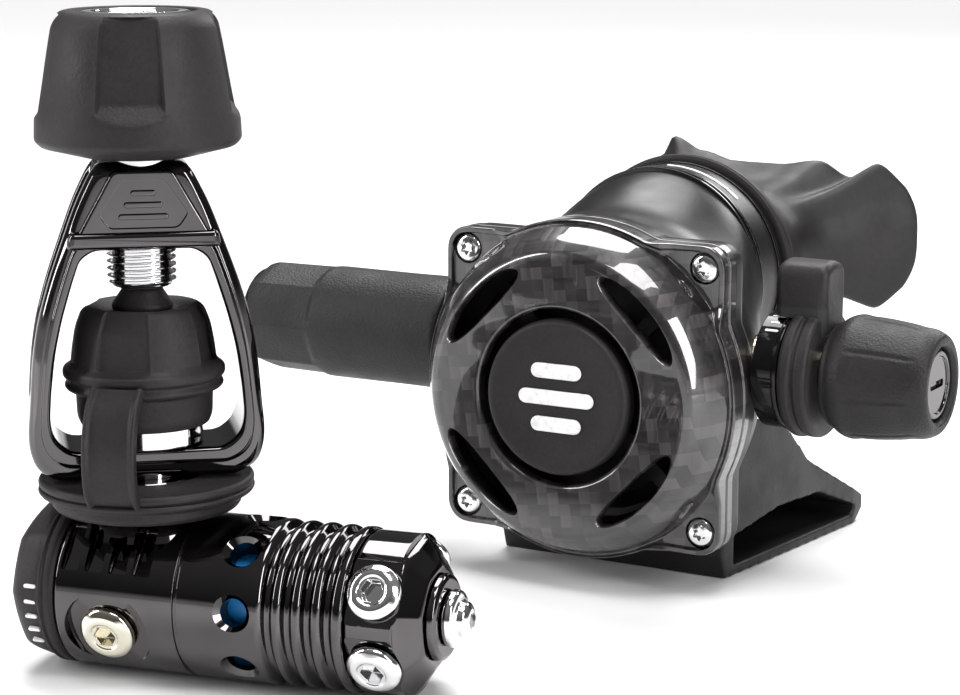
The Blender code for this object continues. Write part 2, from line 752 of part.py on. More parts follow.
def make_poppet(poppet):
    """Poppet with its soft seat, pulled off the orifice by the lever."""
    profile = [(4.2, -26.6), (4.2, -20.0), (5.5, -18.0), (5.5, 8.0),
               (3.0, 8.0), (3.0, 14.0)]
    turned("poppet", profile, brass(), poppet, "X", (VALVE_Y, VALVE_Z), 14)


def make_demand_lever(lever):
    """Bent lever from the valve's slot to the middle of the diaphragm."""
    outline = [(-1.2, 0.5), (1.2, 0.5), (1.4, -1.0), (20.0, -3.4),
               (20.0, -4.6), (-1.2, -2.2)]
    prism("demand_lever", outline, -2.0, 2.0, steel(), lever, "Z")


def make_collars(stage):
    """Gloss collar with the lever scale, and the inlet shoulder."""
    centre = (VALVE_Y, VALVE_Z)
    ring_piece("valve_collar", VALVE_R + GAP, COLLAR_R, 44.2, 51.0,
               gloss_plastic(), stage, "X", centre)
    profile = [(VALVE_R + GAP, -55.6), (13.2, -55.6), (13.2, -47.0),
               (11.0, -42.5), (VALVE_R + GAP, -42.5)]
    shoulder = turned("inlet_shoulder", profile, gloss_plastic(), stage, "X",
                      centre, 24, True)
    clearance = loft("shoulder_trim_tool", case_rings(-GAP), plastic(), stage)
    cut(shoulder, clearance)


def make_venturi_lever(lever):
    """Ring on the valve's axis with a broad paddle standing up from it."""
    ring = ring_piece("venturi_lever", VALVE_R + GAP, 16.4, 51.4, 59.0,
                      plastic(), lever, "X")
    paddle = [(-6.0, 10.0), (6.0, 10.0), (6.6, 22.0), (5.0, 27.2),
              (1.0, 28.6), (-4.6, 27.0), (-6.6, 22.0)]
    fin = prism("paddle_tool", paddle, 46.5, 60.5, plastic(), lever, "X")
    relief = ring_piece("paddle_relief_tool", 5.0, COLLAR_R + 0.5, 40.0, 51.4,
                        plastic(), lever, "X")
    bore = turned("paddle_bore_tool", [(VALVE_R + GAP, 40.0),
                                       (VALVE_R + GAP, 62.0)],
                  plastic(), lever, "X")
    join(ring, fin)
    cut(ring, relief)
    cut(ring, bore)


def knob_swell(angle):
    """Eight shallow flutes round the adjustment knob."""
    return 1.0 - 0.035 * max(0.0, math.cos(8.0 * angle))


def make_adjust_knob(knob):
    """Fluted rubber knob, its end insert and the spindle it turns."""
    rows = [(12.6, 61.0, False), (14.4, KNOB_START - 1.0, False),
            (15.6, KNOB_START + 1.5, True), (15.2, 74.0, True),
            (14.2, 82.0, True), (13.0, 87.0, False), (11.8, KNOB_END, False)]
    rings = [circle(r, x, "X", swell=knob_swell if fluted else None)
             for r, x, fluted in rows]
    grip = loft("adjust_knob", rings, rubber(), knob)
    recess = turned("end_recess_tool", [(8.4, KNOB_END - 3.4),
                                        (9.4, KNOB_END + 1.0)],
                    rubber(), knob, "X")
    cut(grip, recess)
    bore = turned("spindle_bore_tool", [(6.0, 59.0), (6.0, 80.3)],
                  rubber(), knob, "X", segments=16)
    cut(grip, bore)
    turned("adjust_insert", [(8.0, KNOB_END - 3.1), (8.0, KNOB_END - 1.6),
                             (7.2, KNOB_END - 1.2)],
           bright_chrome(), knob, "X", segments=18)
    turned("adjust_spindle", [(5.8, 32.0), (5.8, 60.6), (5.7, 80.0)],
           brass(), knob, "X", segments=14)


def make_sleeve(swivel):
    """Open rubber sleeve over the swivel nut on the inlet."""
    profile = [(11.6, SLEEVE_START), (13.8, SLEEVE_START + 1.0),
               (14.6, SLEEVE_START + 4.0), (14.8, -86.0), (15.4, -83.0),
               (15.4, SLEEVE_END - 1.5), (14.6, SLEEVE_END),
               (13.6, SLEEVE_END), (13.6, NUT_END - 0.4),
               (11.6, NUT_END - 2.4), (11.6, -84.0), (8.0, -88.0),
               (8.0, SLEEVE_START)]
    sleeve = turned("hose_sleeve", profile, rubber(), swivel, "X",
                    loop=True)
    for sign in (-1.0, 1.0):
        flat = block("flat_tool_" + ("lower" if sign < 0 else "upper"),
                     (SLEEVE_START - 1.0, -20.0, sign * 16.0 - 2.6),
                     (-87.0, 20.0, sign * 16.0 + 2.6), rubber(), swivel)
        cut(sleeve, flat)
    profile = [(9.6, -80.0), (11.2, -79.0), (11.2, NUT_END), (4.7, NUT_END),
               (4.7, -80.0)]
    turned("swivel_nut", profile, bright_chrome(), swivel, "X", segments=16,
           loop=True)


def make_mouthpiece(stage):
    """Silicone mouthpiece: neck, lip shield and two bite wings, hollow."""
    rows = [(30.8, 30.8, 0.0, 59.0, 0.0), (29.5, 28.0, 1.0, 64.0, 0.0),
            (26.5, 19.5, 3.0, 73.0, 0.0), (29.0, 15.0, 4.5, 82.0, 1.0),
            (38.5, 16.0, 5.5, 91.0, 4.0), (46.5, 18.5, 6.0, 98.0, 6.0),
            (45.5, 17.5, 6.0, 100.4, 6.0), (30.0, 11.0, 6.0, 103.0, 2.0),
            (24.0, 9.0, 6.0, 112.0, 0.0)]
    bore = [(20.0, 6.0, 6.0, 112.0, 0.0), (20.0, 7.5, 5.0, 97.0, 0.0),
            (20.0, 10.0, 4.0, 82.0, 0.0), (21.0, 14.0, 3.0, 73.0, 0.0),
            (25.5, 24.0, 1.0, 64.0, 0.0), (27.0, 27.0, 0.0, 59.0, 0.0)]
    rings = []
    for wide, high, rise, y, sweep in rows + bore:
        ring = []
        for i in range(24):
            angle = 2.0 * math.pi * i / 24
            ring.append((wide * math.cos(angle),
                         y + sweep * math.cos(angle) ** 2,
                         MOUTH_Z + rise + high * math.sin(angle)))
        rings.append(ring)
    loft("mouthpiece", rings, silicone(), stage, True)


def make_clamp(stage):
    """Ridged clamp ring between the mouth tube and the mouthpiece."""
    profile = [(30.4, 56.3), (31.6, 56.8), (31.6, 58.2), (31.0, 58.7),
               (26.0, 58.7), (26.0, 56.3)]
    turned("mouthpiece_clamp", profile, rubber(), stage, "Y", (MOUTH_Z, 0.0),
           24, True)


def make_exhaust_valve(valve):
    """Mushroom valve on its seat under the case."""
    profile = [(10.2, -1.4), (10.6, -GAP), (1.2, -GAP), (1.2, 5.0)]
    turned("exhaust_valve", profile, silicone(), valve, segments=16)


def make_tee(stage):
    """Exhaust tee that stands the stage up, with an outlet on each side."""
    outline = [(TEE_FRONT, -50.0), (TEE_BACK - 5.0, -50.0), (TEE_BACK, -47.0),
               (TEE_BACK, -43.0), (78.0, -36.0), (60.0, -27.0), (46.0, -14.0),
               (30.0, -10.0), (TEE_FRONT - 2.0, -26.0),
               (TEE_FRONT - 2.0, -44.0)]
    tee = prism("exhaust_tee", outline, -TEE_HALF, TEE_HALF, silicone(),
                stage, "X")
    duct = [(TEE_FRONT + 4.0, -47.4), (TEE_BACK - 7.0, -47.4),
            (TEE_BACK - 5.0, -45.0), (66.0, -37.0), (44.0, -36.6),
            (TEE_FRONT + 4.0, -39.6)]
    passage = prism("duct_tool", duct, -TEE_HALF - 3.0, TEE_HALF + 3.0,
                    silicone(), stage, "X")
    cut(tee, passage)
    for side in (-1.0, 1.0):
        corner = [(side * (TEE_HALF + 0.5), TEE_BACK - 2.0),
                  (side * (TEE_HALF + 0.5), TEE_FRONT - 5.0),
                  (side * (TEE_HALF - 8.0), TEE_FRONT - 5.0)]
        wedge = prism("wedge_tool_" + ("left" if side < 0 else "right"),
                      corner, -52.0, -5.0, silicone(), stage, "Z")
        cut(tee, wedge)
    trim = loft("tee_trim_tool", case_rings(-GAP), plastic(), stage)
    cut(tee, trim)
    well = turned("valve_well_tool", [(14.0, -42.0), (14.0, -4.0)],
                  silicone(), stage, "Z", (0.0, EXHAUST_Y), 18)
    cut(tee, well)
    return tee


def build_first_stage():
    first = empty("first_stage", FIRST_AT, FIRST_TURN)
    make_main_body(first)
    make_end_cap(first)
    make_side_plugs(first)
    make_ambient_bush(first)
    make_first_inside(first)
    make_retainer(first)
    make_yoke(empty("yoke_axis", (0.0, 0.0, 0.0), YOKE_TURN, first))
    make_turret_assembly(first)
    make_piston(empty("piston_axis", (0.0, 0.0, BARREL_R), 0.0, first))
    tip = empty("screw_axis", (0.0, 0.0, 0.0), YOKE_TURN, first)
    make_screw_tip(tip)
    make_yoke_screw(tip)
    make_yoke_knob(tip)
    cap = empty("dust_cap_axis", (0.0, 0.0, 0.0), CAP_TURN, first)
    make_dust_cap(cap)
    make_tether(cap)


def make_turret_assembly(first):
    turret = empty("turret_axis", (0.0, 0.0, BARREL_R), 0.0, first)
    make_turret(turret)
    make_turret_pieces(turret)


def build_second_stage():
    stage = empty("second_stage", STAGE_AT)
    make_cover(stage)
    make_cover_screws(stage)
    make_purge(empty("purge_axis", (0.0, 0.0, 0.0), 0.0, stage))
    make_purge_spring(stage)
    make_guard(stage)
    make_diaphragm(empty("diaphragm_axis", (0.0, 0.0, 0.0), 0.0, stage))
    make_case(stage)
    make_valve(stage)
    make_poppet(empty("poppet_axis", (0.0, 0.0, 0.0), 0.0, stage))
    make_demand_lever(empty("demand_lever_axis",
                            (LEVER_X, LEVER_Y, VALVE_Z), 0.0, stage))
    make_collars(stage)
    valve_axis = (0.0, VALVE_Y, VALVE_Z)
    make_venturi_lever(empty("venturi_axis", valve_axis, 0.0, stage))
    make_adjust_knob(empty("adjust_axis", valve_axis, 0.0, stage))
    make_sleeve(empty("swivel_axis", valve_axis, 0.0, stage))
    make_mouthpiece(stage)
    make_clamp(stage)
    make_exhaust_valve(empty("exhaust_axis", (0.0, EXHAUST_Y, EXHAUST_Z), 0.0,
                             stage))
    make_tee(stage)


def main():
    clear_scene()
    build_first_stage()
    build_second_stage()


main()
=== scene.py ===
"""Scuba regulator set: the fine surfaces, materials, light and camera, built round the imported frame.

Shapes are in millimetres in the local frame of their assembly, which the frame's joints and boxes place.
"""
import json
import math

import bmesh
import bpy
from mathutils import Matrix, Vector


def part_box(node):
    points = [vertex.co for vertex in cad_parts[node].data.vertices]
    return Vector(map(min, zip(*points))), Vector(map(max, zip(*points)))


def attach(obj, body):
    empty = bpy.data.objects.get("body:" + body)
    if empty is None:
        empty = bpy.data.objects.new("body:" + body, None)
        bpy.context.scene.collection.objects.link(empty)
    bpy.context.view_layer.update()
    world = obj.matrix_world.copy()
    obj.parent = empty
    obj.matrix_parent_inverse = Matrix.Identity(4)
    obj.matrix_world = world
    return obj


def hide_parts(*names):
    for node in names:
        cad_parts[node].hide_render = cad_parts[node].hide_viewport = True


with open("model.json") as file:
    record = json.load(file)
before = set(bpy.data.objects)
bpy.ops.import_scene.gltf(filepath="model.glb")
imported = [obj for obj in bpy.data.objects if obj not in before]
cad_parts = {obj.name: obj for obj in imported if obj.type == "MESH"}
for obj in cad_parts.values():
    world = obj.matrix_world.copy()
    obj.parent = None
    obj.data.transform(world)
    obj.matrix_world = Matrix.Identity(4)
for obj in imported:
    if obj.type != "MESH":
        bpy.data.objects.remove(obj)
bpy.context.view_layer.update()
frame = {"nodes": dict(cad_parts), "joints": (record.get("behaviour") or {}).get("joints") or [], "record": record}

MM = 0.001

WORN_SHARE, WORN_COLOUR = 0.35, (0.05, 0.05, 0.05)

# Sizes in millimetres: the part's own, but for the cap's turn, the ears, the thread's section and the slots.
GAP = 0.3
BARREL_R = 18.7
TURRET_R = 18.1
BODY_START, BODY_END, TURRET_END = -14.7, 55.0, 71.0
NECK_R, NECK_TOP = 12.3, 45.7
HOLE_X, HOLE_COUNT, HOLE_FIRST = 29.0, 8, 5.0
SIDE_X, SIDE_ANGLES = -2.0, (-20.0, 200.0)
LP_X, LP_ANGLES = 61.5, (30.0, -28.0, 150.0, 208.0)
YOKE_TURN = math.radians(31.0)
CAP_TURN = math.radians(9.0)
SCREW_R, SCREW_BOTTOM, THREAD_TOP, THREAD_PITCH = 7.8, 88.6, 101.0, 1.6
CORE_R, THREAD_DEPTH, SCREW_SEGMENTS = 6.6, 0.95, 72
FACE_Y, RIM_R, FACE_R = -15.0, 43.6, 36.0
BUTTON_R, BUTTON_HOLE_R = 19.8, 22.4
SCREW_SQUARE, EAR_R = 33.5, 5.7
SLOT_R, SLOT_HALF_WIDTH, SLOT_HALF_LENGTH, SLOT_BEND = 31.4, 3.0, 13.6, 160.0
VALVE_R, COLLAR_R = 7.5, 15.0
KNOB_END, SLEEVE_START, SLEEVE_END, NUT_END = 88.6, -110.0, -46.6, -56.0
MOUTH_Z, CASE_WALL = 22.0, 2.2
EXHAUST_Y = 32.0


def moved(x, y, z):
    """Shift in millimetres as a matrix."""
    return Matrix.Translation(Vector((x, y, z)) * MM)


def assembly_frames():
    """Local frames of the two stages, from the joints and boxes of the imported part."""
    joints = {j["name"]: j for j in frame["joints"]}
    foot = Vector(joints["knob_turn"]["pos_m"])
    foot.z = 0.0
    barrel = Vector(joints["turret_spin"]["axis"])
    first = Matrix.Translation(foot) @ Matrix.Rotation(math.atan2(barrel.y, barrel.x), 4, "Z")
    low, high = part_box("front_cover")
    middle = (low + high) / 2.0
    stage = Matrix.Translation((middle.x, low.y, middle.z)) @ moved(0.0, -FACE_Y, 0.0)
    valve = Matrix.Translation((middle.x, *joints["adjust_turn"]["pos_m"][1:]))
    return first, stage, valve


FIRST, STAGE, VALVE = assembly_frames()
YOKE = FIRST @ Matrix.Rotation(YOKE_TURN, 4, "Z")
CAP = FIRST @ Matrix.Rotation(CAP_TURN, 4, "Z")
BARREL = FIRST @ moved(0.0, 0.0, BARREL_R)


# ---------------------------------------------------------------- mesh helpers

def solid(name, points, faces, at):
    """Mesh object from points in millimetres, with its faces turned outwards."""
    bm = bmesh.new()
    verts = [bm.verts.new(Vector(p) * MM) for p in points]
    for face in faces:
        bm.faces.new([verts[i] for i in face])
    bmesh.ops.recalc_face_normals(bm, faces=bm.faces)
    mesh = bpy.data.meshes.new(name)
    bm.to_mesh(mesh)
    bm.free()
    obj = bpy.data.objects.new(name, mesh)
    obj.matrix_world = at
    bpy.context.scene.collection.objects.link(obj)
    return obj


def loft(name, rings, at, loop=False):
    """Skin over rings of equal length, capped at both ends or looped."""
    count = len(rings[0])
    faces = []
    for i in range(len(rings) if loop else len(rings) - 1):
        a = i * count
        b = ((i + 1) % len(rings)) * count
        for j in range(count):
            k = (j + 1) % count
            faces.append((a + j, a + k, b + k, b + j))
    if not loop:
        last = (len(rings) - 1) * count
        faces.append(tuple(range(count)))
        faces.append(tuple(range(last, last + count)))
    return solid(name, [p for ring in rings for p in ring], faces, at)


def along(axis, u, v, w):
    """Point with u, v across the axis and w along it."""
    if axis == "X":
        return (w, u, v)
    if axis == "Y":
        return (v, w, u)
    return (u, v, w)


def rounded(points, closed=False, steps=5):
    """Line through (u, v) or (u, v, cut) points; a corner with a cut is rounded off."""
    line = []
    for i, point in enumerate(points):
        corner = Vector(point[:2])
        if len(point) < 3 or (not closed and i in (0, len(points) - 1)):
            line.append(tuple(corner))
            continue
        back = Vector(points[i - 1][:2]) - corner
        ahead = Vector(points[(i + 1) % len(points)][:2]) - corner
        size = min(point[2], 0.48 * back.length, 0.48 * ahead.length)
        start = corner + back.normalized() * size
        end = corner + ahead.normalized() * size
        for k in range(steps + 1):
            t = k / steps
            line.append(tuple(start * (1 - t) ** 2 + corner * 2 * t * (1 - t) + end * t * t))
    return line


def fine(line, step=1.0):
    """The same line with its long runs divided."""
    out = [line[0]]
    for a, b in zip(line, line[1:]):
        parts = max(1, math.ceil(math.dist(a, b) / step))
        out += [tuple(p + (q - p) * k / parts for p, q in zip(a, b)) for k in range(1, parts + 1)]
    return out


def smooth_rows(rows, parts=4):
    """Catmull-Rom rows between the given ones."""
    out = []
    for i in range(len(rows) - 1):
        four = [rows[max(0, i - 1)], rows[i], rows[i + 1], rows[min(len(rows) - 1, i + 2)]]
        for k in range(parts):
            t = k / parts
            out.append(tuple(0.5 * (2 * b + (c - a) * t + (2 * a - 5 * b + 4 * c - d) * t * t
                                    + (3 * b - a - 3 * c + d) * t ** 3) for a, b, c, d in zip(*four)))
    return out + [tuple(rows[-1])]


def circle(radius, w, axis="Z", centre=(0.0, 0.0), segments=96, shape=None):
    """Ring round an axis; shape(angle, radius, w) may change the radius."""
    ring = []
    for i in range(segments):
        angle = math.tau * i / segments
        r = shape(angle, radius, w) if shape else radius
        ring.append(along(axis, centre[0] + r * math.cos(angle), centre[1] + r * math.sin(angle), w))
    return ring


def turned(name, profile, at, axis="Z", centre=(0.0, 0.0), segments=96, loop=False, shape=None):
    """Turned piece: profile is (radius, distance along the axis, optional rounding)."""
    line = rounded(profile, loop)
    if shape:
        line = fine(line)
    return loft(name, [circle(r, w, axis, centre, segments, shape) for r, w in line], at, loop)


def inset(outline, size):
    """Closed outline moved inwards by size, for an anticlockwise or clockwise outline."""
    area = sum(a[0] * b[1] - b[0] * a[1] for a, b in zip(outline, outline[1:] + outline[:1]))
    sign = 1.0 if area > 0 else -1.0
    out = []
    for i, point in enumerate(outline):
        before = Vector(outline[i - 1])
        after = Vector(outline[(i + 1) % len(outline)])
        run = (after - before).normalized()
        out.append((point[0] - sign * run.y * size, point[1] + sign * run.x * size))
    return out


def slab(name, outline, start, end, at, axis="Y", edge=0.6, steps=4):
    """Extruded outline with rounded rims."""
    rows = []
    for k in range(steps + 1):
        a = 0.5 * math.pi * k / steps
        rows.append((edge * (1 - math.sin(a)), edge * (1 - math.cos(a))))
    rings = [[along(axis, u, v, start + w) for u, v in inset(outline, d)] for d, w in rows]
    rings += [[along(axis, u, v, end - w) for u, v in inset(outline, d)] for d, w in reversed(rows)]
    return loft(name, rings, at)


def pill(length, width, centre=(0.0, 0.0), turn=0.0, steps=8):
    """Outline of a bar with round ends."""
    points = []
    for side in (1.0, -1.0):
        for k in range(steps + 1):
            a = math.pi * (k / steps - 0.5)
            u = side * (0.5 * (length - width) + 0.5 * width * math.cos(a))
            v = side * 0.5 * width * math.sin(a)
            points.append((centre[0] + u * math.cos(turn) - v * math.sin(turn),
                           centre[1] + u * math.sin(turn) + v * math.cos(turn)))
    return points


def bake(obj):
    """Make the modifiers' result the object's own mesh."""
    bpy.context.view_layer.update()
    graph = bpy.context.evaluated_depsgraph_get()
    mesh = bpy.data.meshes.new_from_object(obj.evaluated_get(graph))
    obj.modifiers.clear()
    obj.data = mesh


def combine(target, tools, operation="DIFFERENCE"):
    """Cut the tools from the target, or join them to it, and remove them."""
    for tool in tools:
        mod = target.modifiers.new(tool.name, "BOOLEAN")
        mod.operation = operation
        mod.solver = "EXACT"
        mod.object = tool
    bake(target)
    for tool in tools:
        bpy.data.objects.remove(tool)
    return target


def polish(obj, material, body, *nodes, slot=None, sharp=32.0, bevel=0.0):
    """Material, smooth shading, softened edges and the piece's place in the frame."""
    mesh = obj.data
    mesh.materials.clear()
    mesh.materials.append(M[material])
    mesh.shade_smooth()
    mesh.set_sharp_from_angle(angle=math.radians(sharp))
    if bevel:
        mod = obj.modifiers.new("soft_edges", "BEVEL")
        mod.width = bevel * MM
        mod.segments = 2
        mod.limit_method = "ANGLE"
        mod.angle_limit = math.radians(sharp)
    weighted = obj.modifiers.new("normals", "WEIGHTED_NORMAL")
    weighted.keep_sharp = True
    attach(obj, body)
    if nodes:
        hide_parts(*nodes)
    return obj


def mark(name, bars, material, slot, body):
    """Raised or printed marks, joined in one piece."""
    piece = combine(bars[0], bars[1:], "UNION")
    piece.name = name
    polish(piece, material, body, slot=slot)


def clamped(value):
    """The value, held between 0 and 1."""
    return min(1.0, max(0.0, value))


def radial_frame(angle_deg, x, at):
    """Matrix with +Z pointing out of a barrel along X, at an angle from -Y upwards."""
    angle = math.radians(angle_deg)
    out = Vector((0.0, -math.cos(angle), math.sin(angle)))
    side = Vector((1.0, 0.0, 0.0))
    rot = Matrix((side, out.cross(side), out)).transposed().to_4x4()
    return at @ moved(x, 0.0, 0.0) @ rot


# ---------------------------------------------------------------- materials

class Shader:
    """A Principled material with short calls for its procedural nodes."""

    def __init__(self, name, rough, metallic=0.0, **values):
        self.mat = bpy.data.materials.new(name)
        self.mat.use_nodes = True
        self.nodes = self.mat.node_tree.nodes
        self.links = self.mat.node_tree.links
        self.bsdf = self.nodes["Principled BSDF"]
        self.set("Roughness", rough)
        self.set("Metallic", metallic)
        for key, value in values.items():
            self.set(key.replace("_", " "), value)
        self.place = self.nodes.new("ShaderNodeTexCoord").outputs["Object"]

    def set(self, socket, value):
        self.bsdf.inputs[socket].default_value = value

    def feed(self, source, socket):
        self.links.new(source, self.bsdf.inputs[socket])

    def node(self, kind, inputs=(), **settings):
        """New node; inputs maps a socket to a value or to another node's output."""
        node = self.nodes.new(kind)
        for key, value in settings.items():
            setattr(node, key, value)
        for key, value in dict(inputs).items():
            if isinstance(value, bpy.types.NodeSocket):
                self.links.new(value, node.inputs[key])
            else:
                node.inputs[key].default_value = value
        return node

    def math(self, operation, a, b=0.0):
        return self.node("ShaderNodeMath", {0: a, 1: b}, operation=operation).outputs[0]

    def noise(self, scale, detail=3.0, stretch=(1.0, 1.0, 1.0)):
        place = self.node("ShaderNodeMapping", {"Vector": self.place, "Scale": stretch}).outputs[0]
        return self.node("ShaderNodeTexNoise", {"Vector": place, "Scale": scale,
                                                "Detail": detail}).outputs["Fac"]

    def ramp(self, fac, *stops):
        """Colour ramp of (position, colour or grey level)."""
        node = self.node("ShaderNodeValToRGB", {"Fac": fac})
        while len(node.color_ramp.elements) < len(stops):
            node.color_ramp.elements.new(0.5)
        for element, (at, colour) in zip(node.color_ramp.elements, stops):
            element.position = at
            level = colour if isinstance(colour, tuple) else (colour,) * 3
            element.color = (*level, 1.0)
        return node.outputs["Color"]

    def mix(self, fac, a, b, blend="MIX"):
        node = self.node("ShaderNodeMix", data_type="RGBA", blend_type=blend)
        for index, value in ((0, fac), (6, a), (7, b)):
            if isinstance(value, bpy.types.NodeSocket):
                self.links.new(value, node.inputs[index])
            elif index:
                node.inputs[index].default_value = (*value, 1.0)
            else:
                node.inputs[index].default_value = value
        return node.outputs[2]

    def bump(self, height, strength, distance):
        node = self.node("ShaderNodeBump", {"Height": height, "Strength": strength, "Distance": distance})
        self.feed(node.outputs[0], "Normal")

    def worn_edges(self, low, high):
        """0 on flat ground and 1 on exposed edges."""
        point = self.node("ShaderNodeNewGeometry").outputs["Pointiness"]
        return self.ramp(point, (low, 0.0), (high, 1.0))


def plated(name, dark, light, rough_low, rough_high, wave=0.02):
    """Plated metal: faint colour drift, handling haze and the slight waviness of polished metal."""
    s = Shader(name, rough_low, 1.0)
    s.feed(s.ramp(s.noise(45.0), (0.35, dark), (0.7, light)), "Base Color")
    haze = s.math("ADD", s.noise(70.0, 5.0), s.math("MULTIPLY", s.noise(1100.0, 2.0), 0.12))
    s.feed(s.ramp(haze, (0.45, rough_low), (0.78, rough_high)), "Roughness")
    s.bump(s.noise(160.0, 2.0), wave, 0.0006)
    return s.mat


def moulded(name, dark, light, rough_low, rough_high, grain=1400.0, depth=0.25):
    """Rubber or plastic: fine grain, slow colour drift, paler worn edges."""
    s = Shader(name, rough_low, Specular_IOR_Level=0.3)
    base = s.ramp(s.noise(38.0, 4.0), (0.32, dark), (0.72, light))
    speckle = s.ramp(s.noise(grain * 0.7, 2.0), (0.3, 0.82), (0.75, 1.15))
    base = s.mix(1.0, base, speckle, "MULTIPLY")
    wear = s.math("MULTIPLY", s.worn_edges(0.52, 0.6), WORN_SHARE)
    s.feed(s.mix(wear, base, WORN_COLOUR), "Base Color")
    s.feed(s.ramp(s.noise(90.0, 5.0), (0.35, rough_low), (0.7, rough_high)), "Roughness")
    cells = s.node("ShaderNodeTexVoronoi", {"Vector": s.place, "Scale": grain}).outputs["Distance"]
    height = s.math("ADD", s.noise(grain, 3.0), s.math("MULTIPLY", cells, 0.6))
    s.bump(height, depth, 0.00025)
    return s.mat


def carbon_twill(name, tow=3.0):
    """Two-by-two twill of flat tows under a thick clear coat; the warp tows are painted lighter than the weft, a
    painted sheen.
    """
    s = Shader(name, 0.38, 0.35, Coat_Weight=1.0, Coat_Roughness=0.03, Coat_IOR=1.6)
    turn = s.node("ShaderNodeMapping", {"Vector": s.place, "Rotation": (0.0, math.radians(8.0), 0.0),
                                        "Scale": (1.0 / (tow * MM),) * 3}).outputs[0]
    split = s.node("ShaderNodeSeparateXYZ", {0: turn})
    u, v = split.outputs["X"], split.outputs["Z"]
    i, j = s.math("FLOOR", u), s.math("FLOOR", v)
    lane = s.math("FLOORED_MODULO", s.math("ADD", i, j), 4.0)
    warp = s.math("LESS_THAN", lane, 1.5)
    height = []
    for run in (u, v):
        across = s.math("SUBTRACT", s.math("FRACT", run), 0.5)
        height.append(s.math("SUBTRACT", 1.0, s.math("MULTIPLY", s.math("POWER", across, 2.0), 3.2)))
    arch = s.node("ShaderNodeMix", {0: warp, 2: height[1], 3: height[0]}, data_type="FLOAT").outputs[0]
    grain_u = s.noise(900.0, 2.0, (1.0, 1.0, 0.04))
    grain_v = s.noise(900.0, 2.0, (0.04, 1.0, 1.0))
    fibre = s.node("ShaderNodeMix", {0: warp, 2: grain_v, 3: grain_u}, data_type="FLOAT").outputs[0]
    cell = s.node("ShaderNodeCombineXYZ", {0: i, 1: j}).outputs[0]
    tone = s.node("ShaderNodeTexWhiteNoise", {"Vector": cell}, noise_dimensions="2D").outputs["Value"]
    # Painted sheen: the warp tows lighter than the weft, added to a random tone per tow and fine fibre lines.
    level = s.math("ADD", s.math("MULTIPLY", warp, 0.34), s.math("MULTIPLY", tone, 0.42))
    level = s.math("ADD", level, s.math("MULTIPLY", fibre, 0.34))
    s.feed(s.ramp(level, (0.1, (0.005, 0.0045, 0.005)), (0.55, (0.019, 0.0168, 0.0178)),
                  (1.0, (0.060, 0.053, 0.056))), "Base Color")
    s.feed(s.ramp(fibre, (0.3, 0.30), (0.75, 0.5)), "Roughness")
    s.bump(s.math("ADD", arch, s.math("MULTIPLY", fibre, 0.25)), 0.35, 0.00022)
    return s.mat


def make_materials():
    return {
        "dark_chrome": plated("black_nickel", (0.083, 0.078, 0.079), (0.105, 0.099, 0.100), 0.035, 0.09),
        "bright_chrome": plated("bright_plate", (0.70, 0.70, 0.71), (0.80, 0.80, 0.80), 0.07, 0.2),
        "stainless_steel": plated("drawn_steel", (0.48, 0.48, 0.49), (0.60, 0.60, 0.60), 0.2, 0.36, 0.08),
        "plated_brass": plated("satin_brass", (0.58, 0.53, 0.42), (0.68, 0.63, 0.52), 0.18, 0.34, 0.05),
        "dark_rubber": moulded("grip_rubber", (0.012, 0.010, 0.011), (0.017, 0.0145, 0.0155), 0.48, 0.64),
        "soft_silicone": moulded("silicone", (0.010, 0.009, 0.0095), (0.015, 0.0133, 0.014), 0.42, 0.56,
                                 900.0, 0.12),
        "black_plastic": moulded("plastic", (0.005, 0.0046, 0.005), (0.008, 0.0074, 0.008), 0.3, 0.42,
                                 1100.0, 0.08),
        "gloss_plastic": moulded("polished_black", (0.004, 0.0037, 0.004), (0.006, 0.0055, 0.006), 0.06,
                                 0.12, 600.0, 0.02),
        "carbon_laminate": carbon_twill("carbon_twill"),
        "blue_plastic": moulded("blue_bush", (0.012, 0.24, 0.70), (0.02, 0.32, 0.82), 0.25, 0.38, 900.0,
                                0.08),
        "print": moulded("white_print", (0.84, 0.84, 0.84), (0.92, 0.92, 0.92), 0.35, 0.45, 900.0, 0.05),
        "grained_rubber": moulded("grained_rubber", (0.010, 0.009, 0.0095), (0.015, 0.0135, 0.0142), 0.48,
                                  0.62, 1500.0, 0.5),
        "champagne": plated("champagne_plate", (0.72, 0.68, 0.56), (0.80, 0.77, 0.66), 0.08, 0.2),
    }


M = make_materials()


# ---------------------------------------------------------------- first stage

NO_PANEL = 1000.0


def panelled(name, profile, floors, half_deg, turn_deg, at, count=4):
    """Grip round Z with flat panels sunk into it; floors is (height, distance of the flat from the axis)."""
    half = math.radians(half_deg)
    pitch = math.tau / count
    edge = math.radians(0.5)
    angles = []
    for i in range(count):
        middle = math.radians(turn_deg) + pitch * i
        inner = [middle + half * 2.0 * (k / 12 - 0.5) for k in range(13)]
        inner[0] += edge
        inner[-1] -= edge
        gap = pitch - 2.0 * half
        angles += inner + [middle + half + edge + (gap - 2 * edge) * k / 14 for k in range(15)]
    rings = []
    for r, z in fine(rounded(profile), 0.8):
        flat = flat_at(floors, z)
        ring = []
        for angle in angles:
            off = (angle - math.radians(turn_deg) + 0.5 * pitch) % pitch - 0.5 * pitch
            radius = min(r, flat / math.cos(off)) if abs(off) < half else r
            ring.append((radius * math.cos(angle), radius * math.sin(angle), z))
        rings.append(ring)
    return loft(name, rings, at)


def flat_at(floors, z):
    """Panel floor's distance at a height, straight between the given rows; NO_PANEL above and below them."""
    if not floors[0][0] <= z <= floors[-1][0]:
        return NO_PANEL
    for (z0, d0), (z1, d1) in zip(floors, floors[1:]):
        if z <= z1:
            return d0 + (d1 - d0) * (z - z0) / (z1 - z0)
    return NO_PANEL


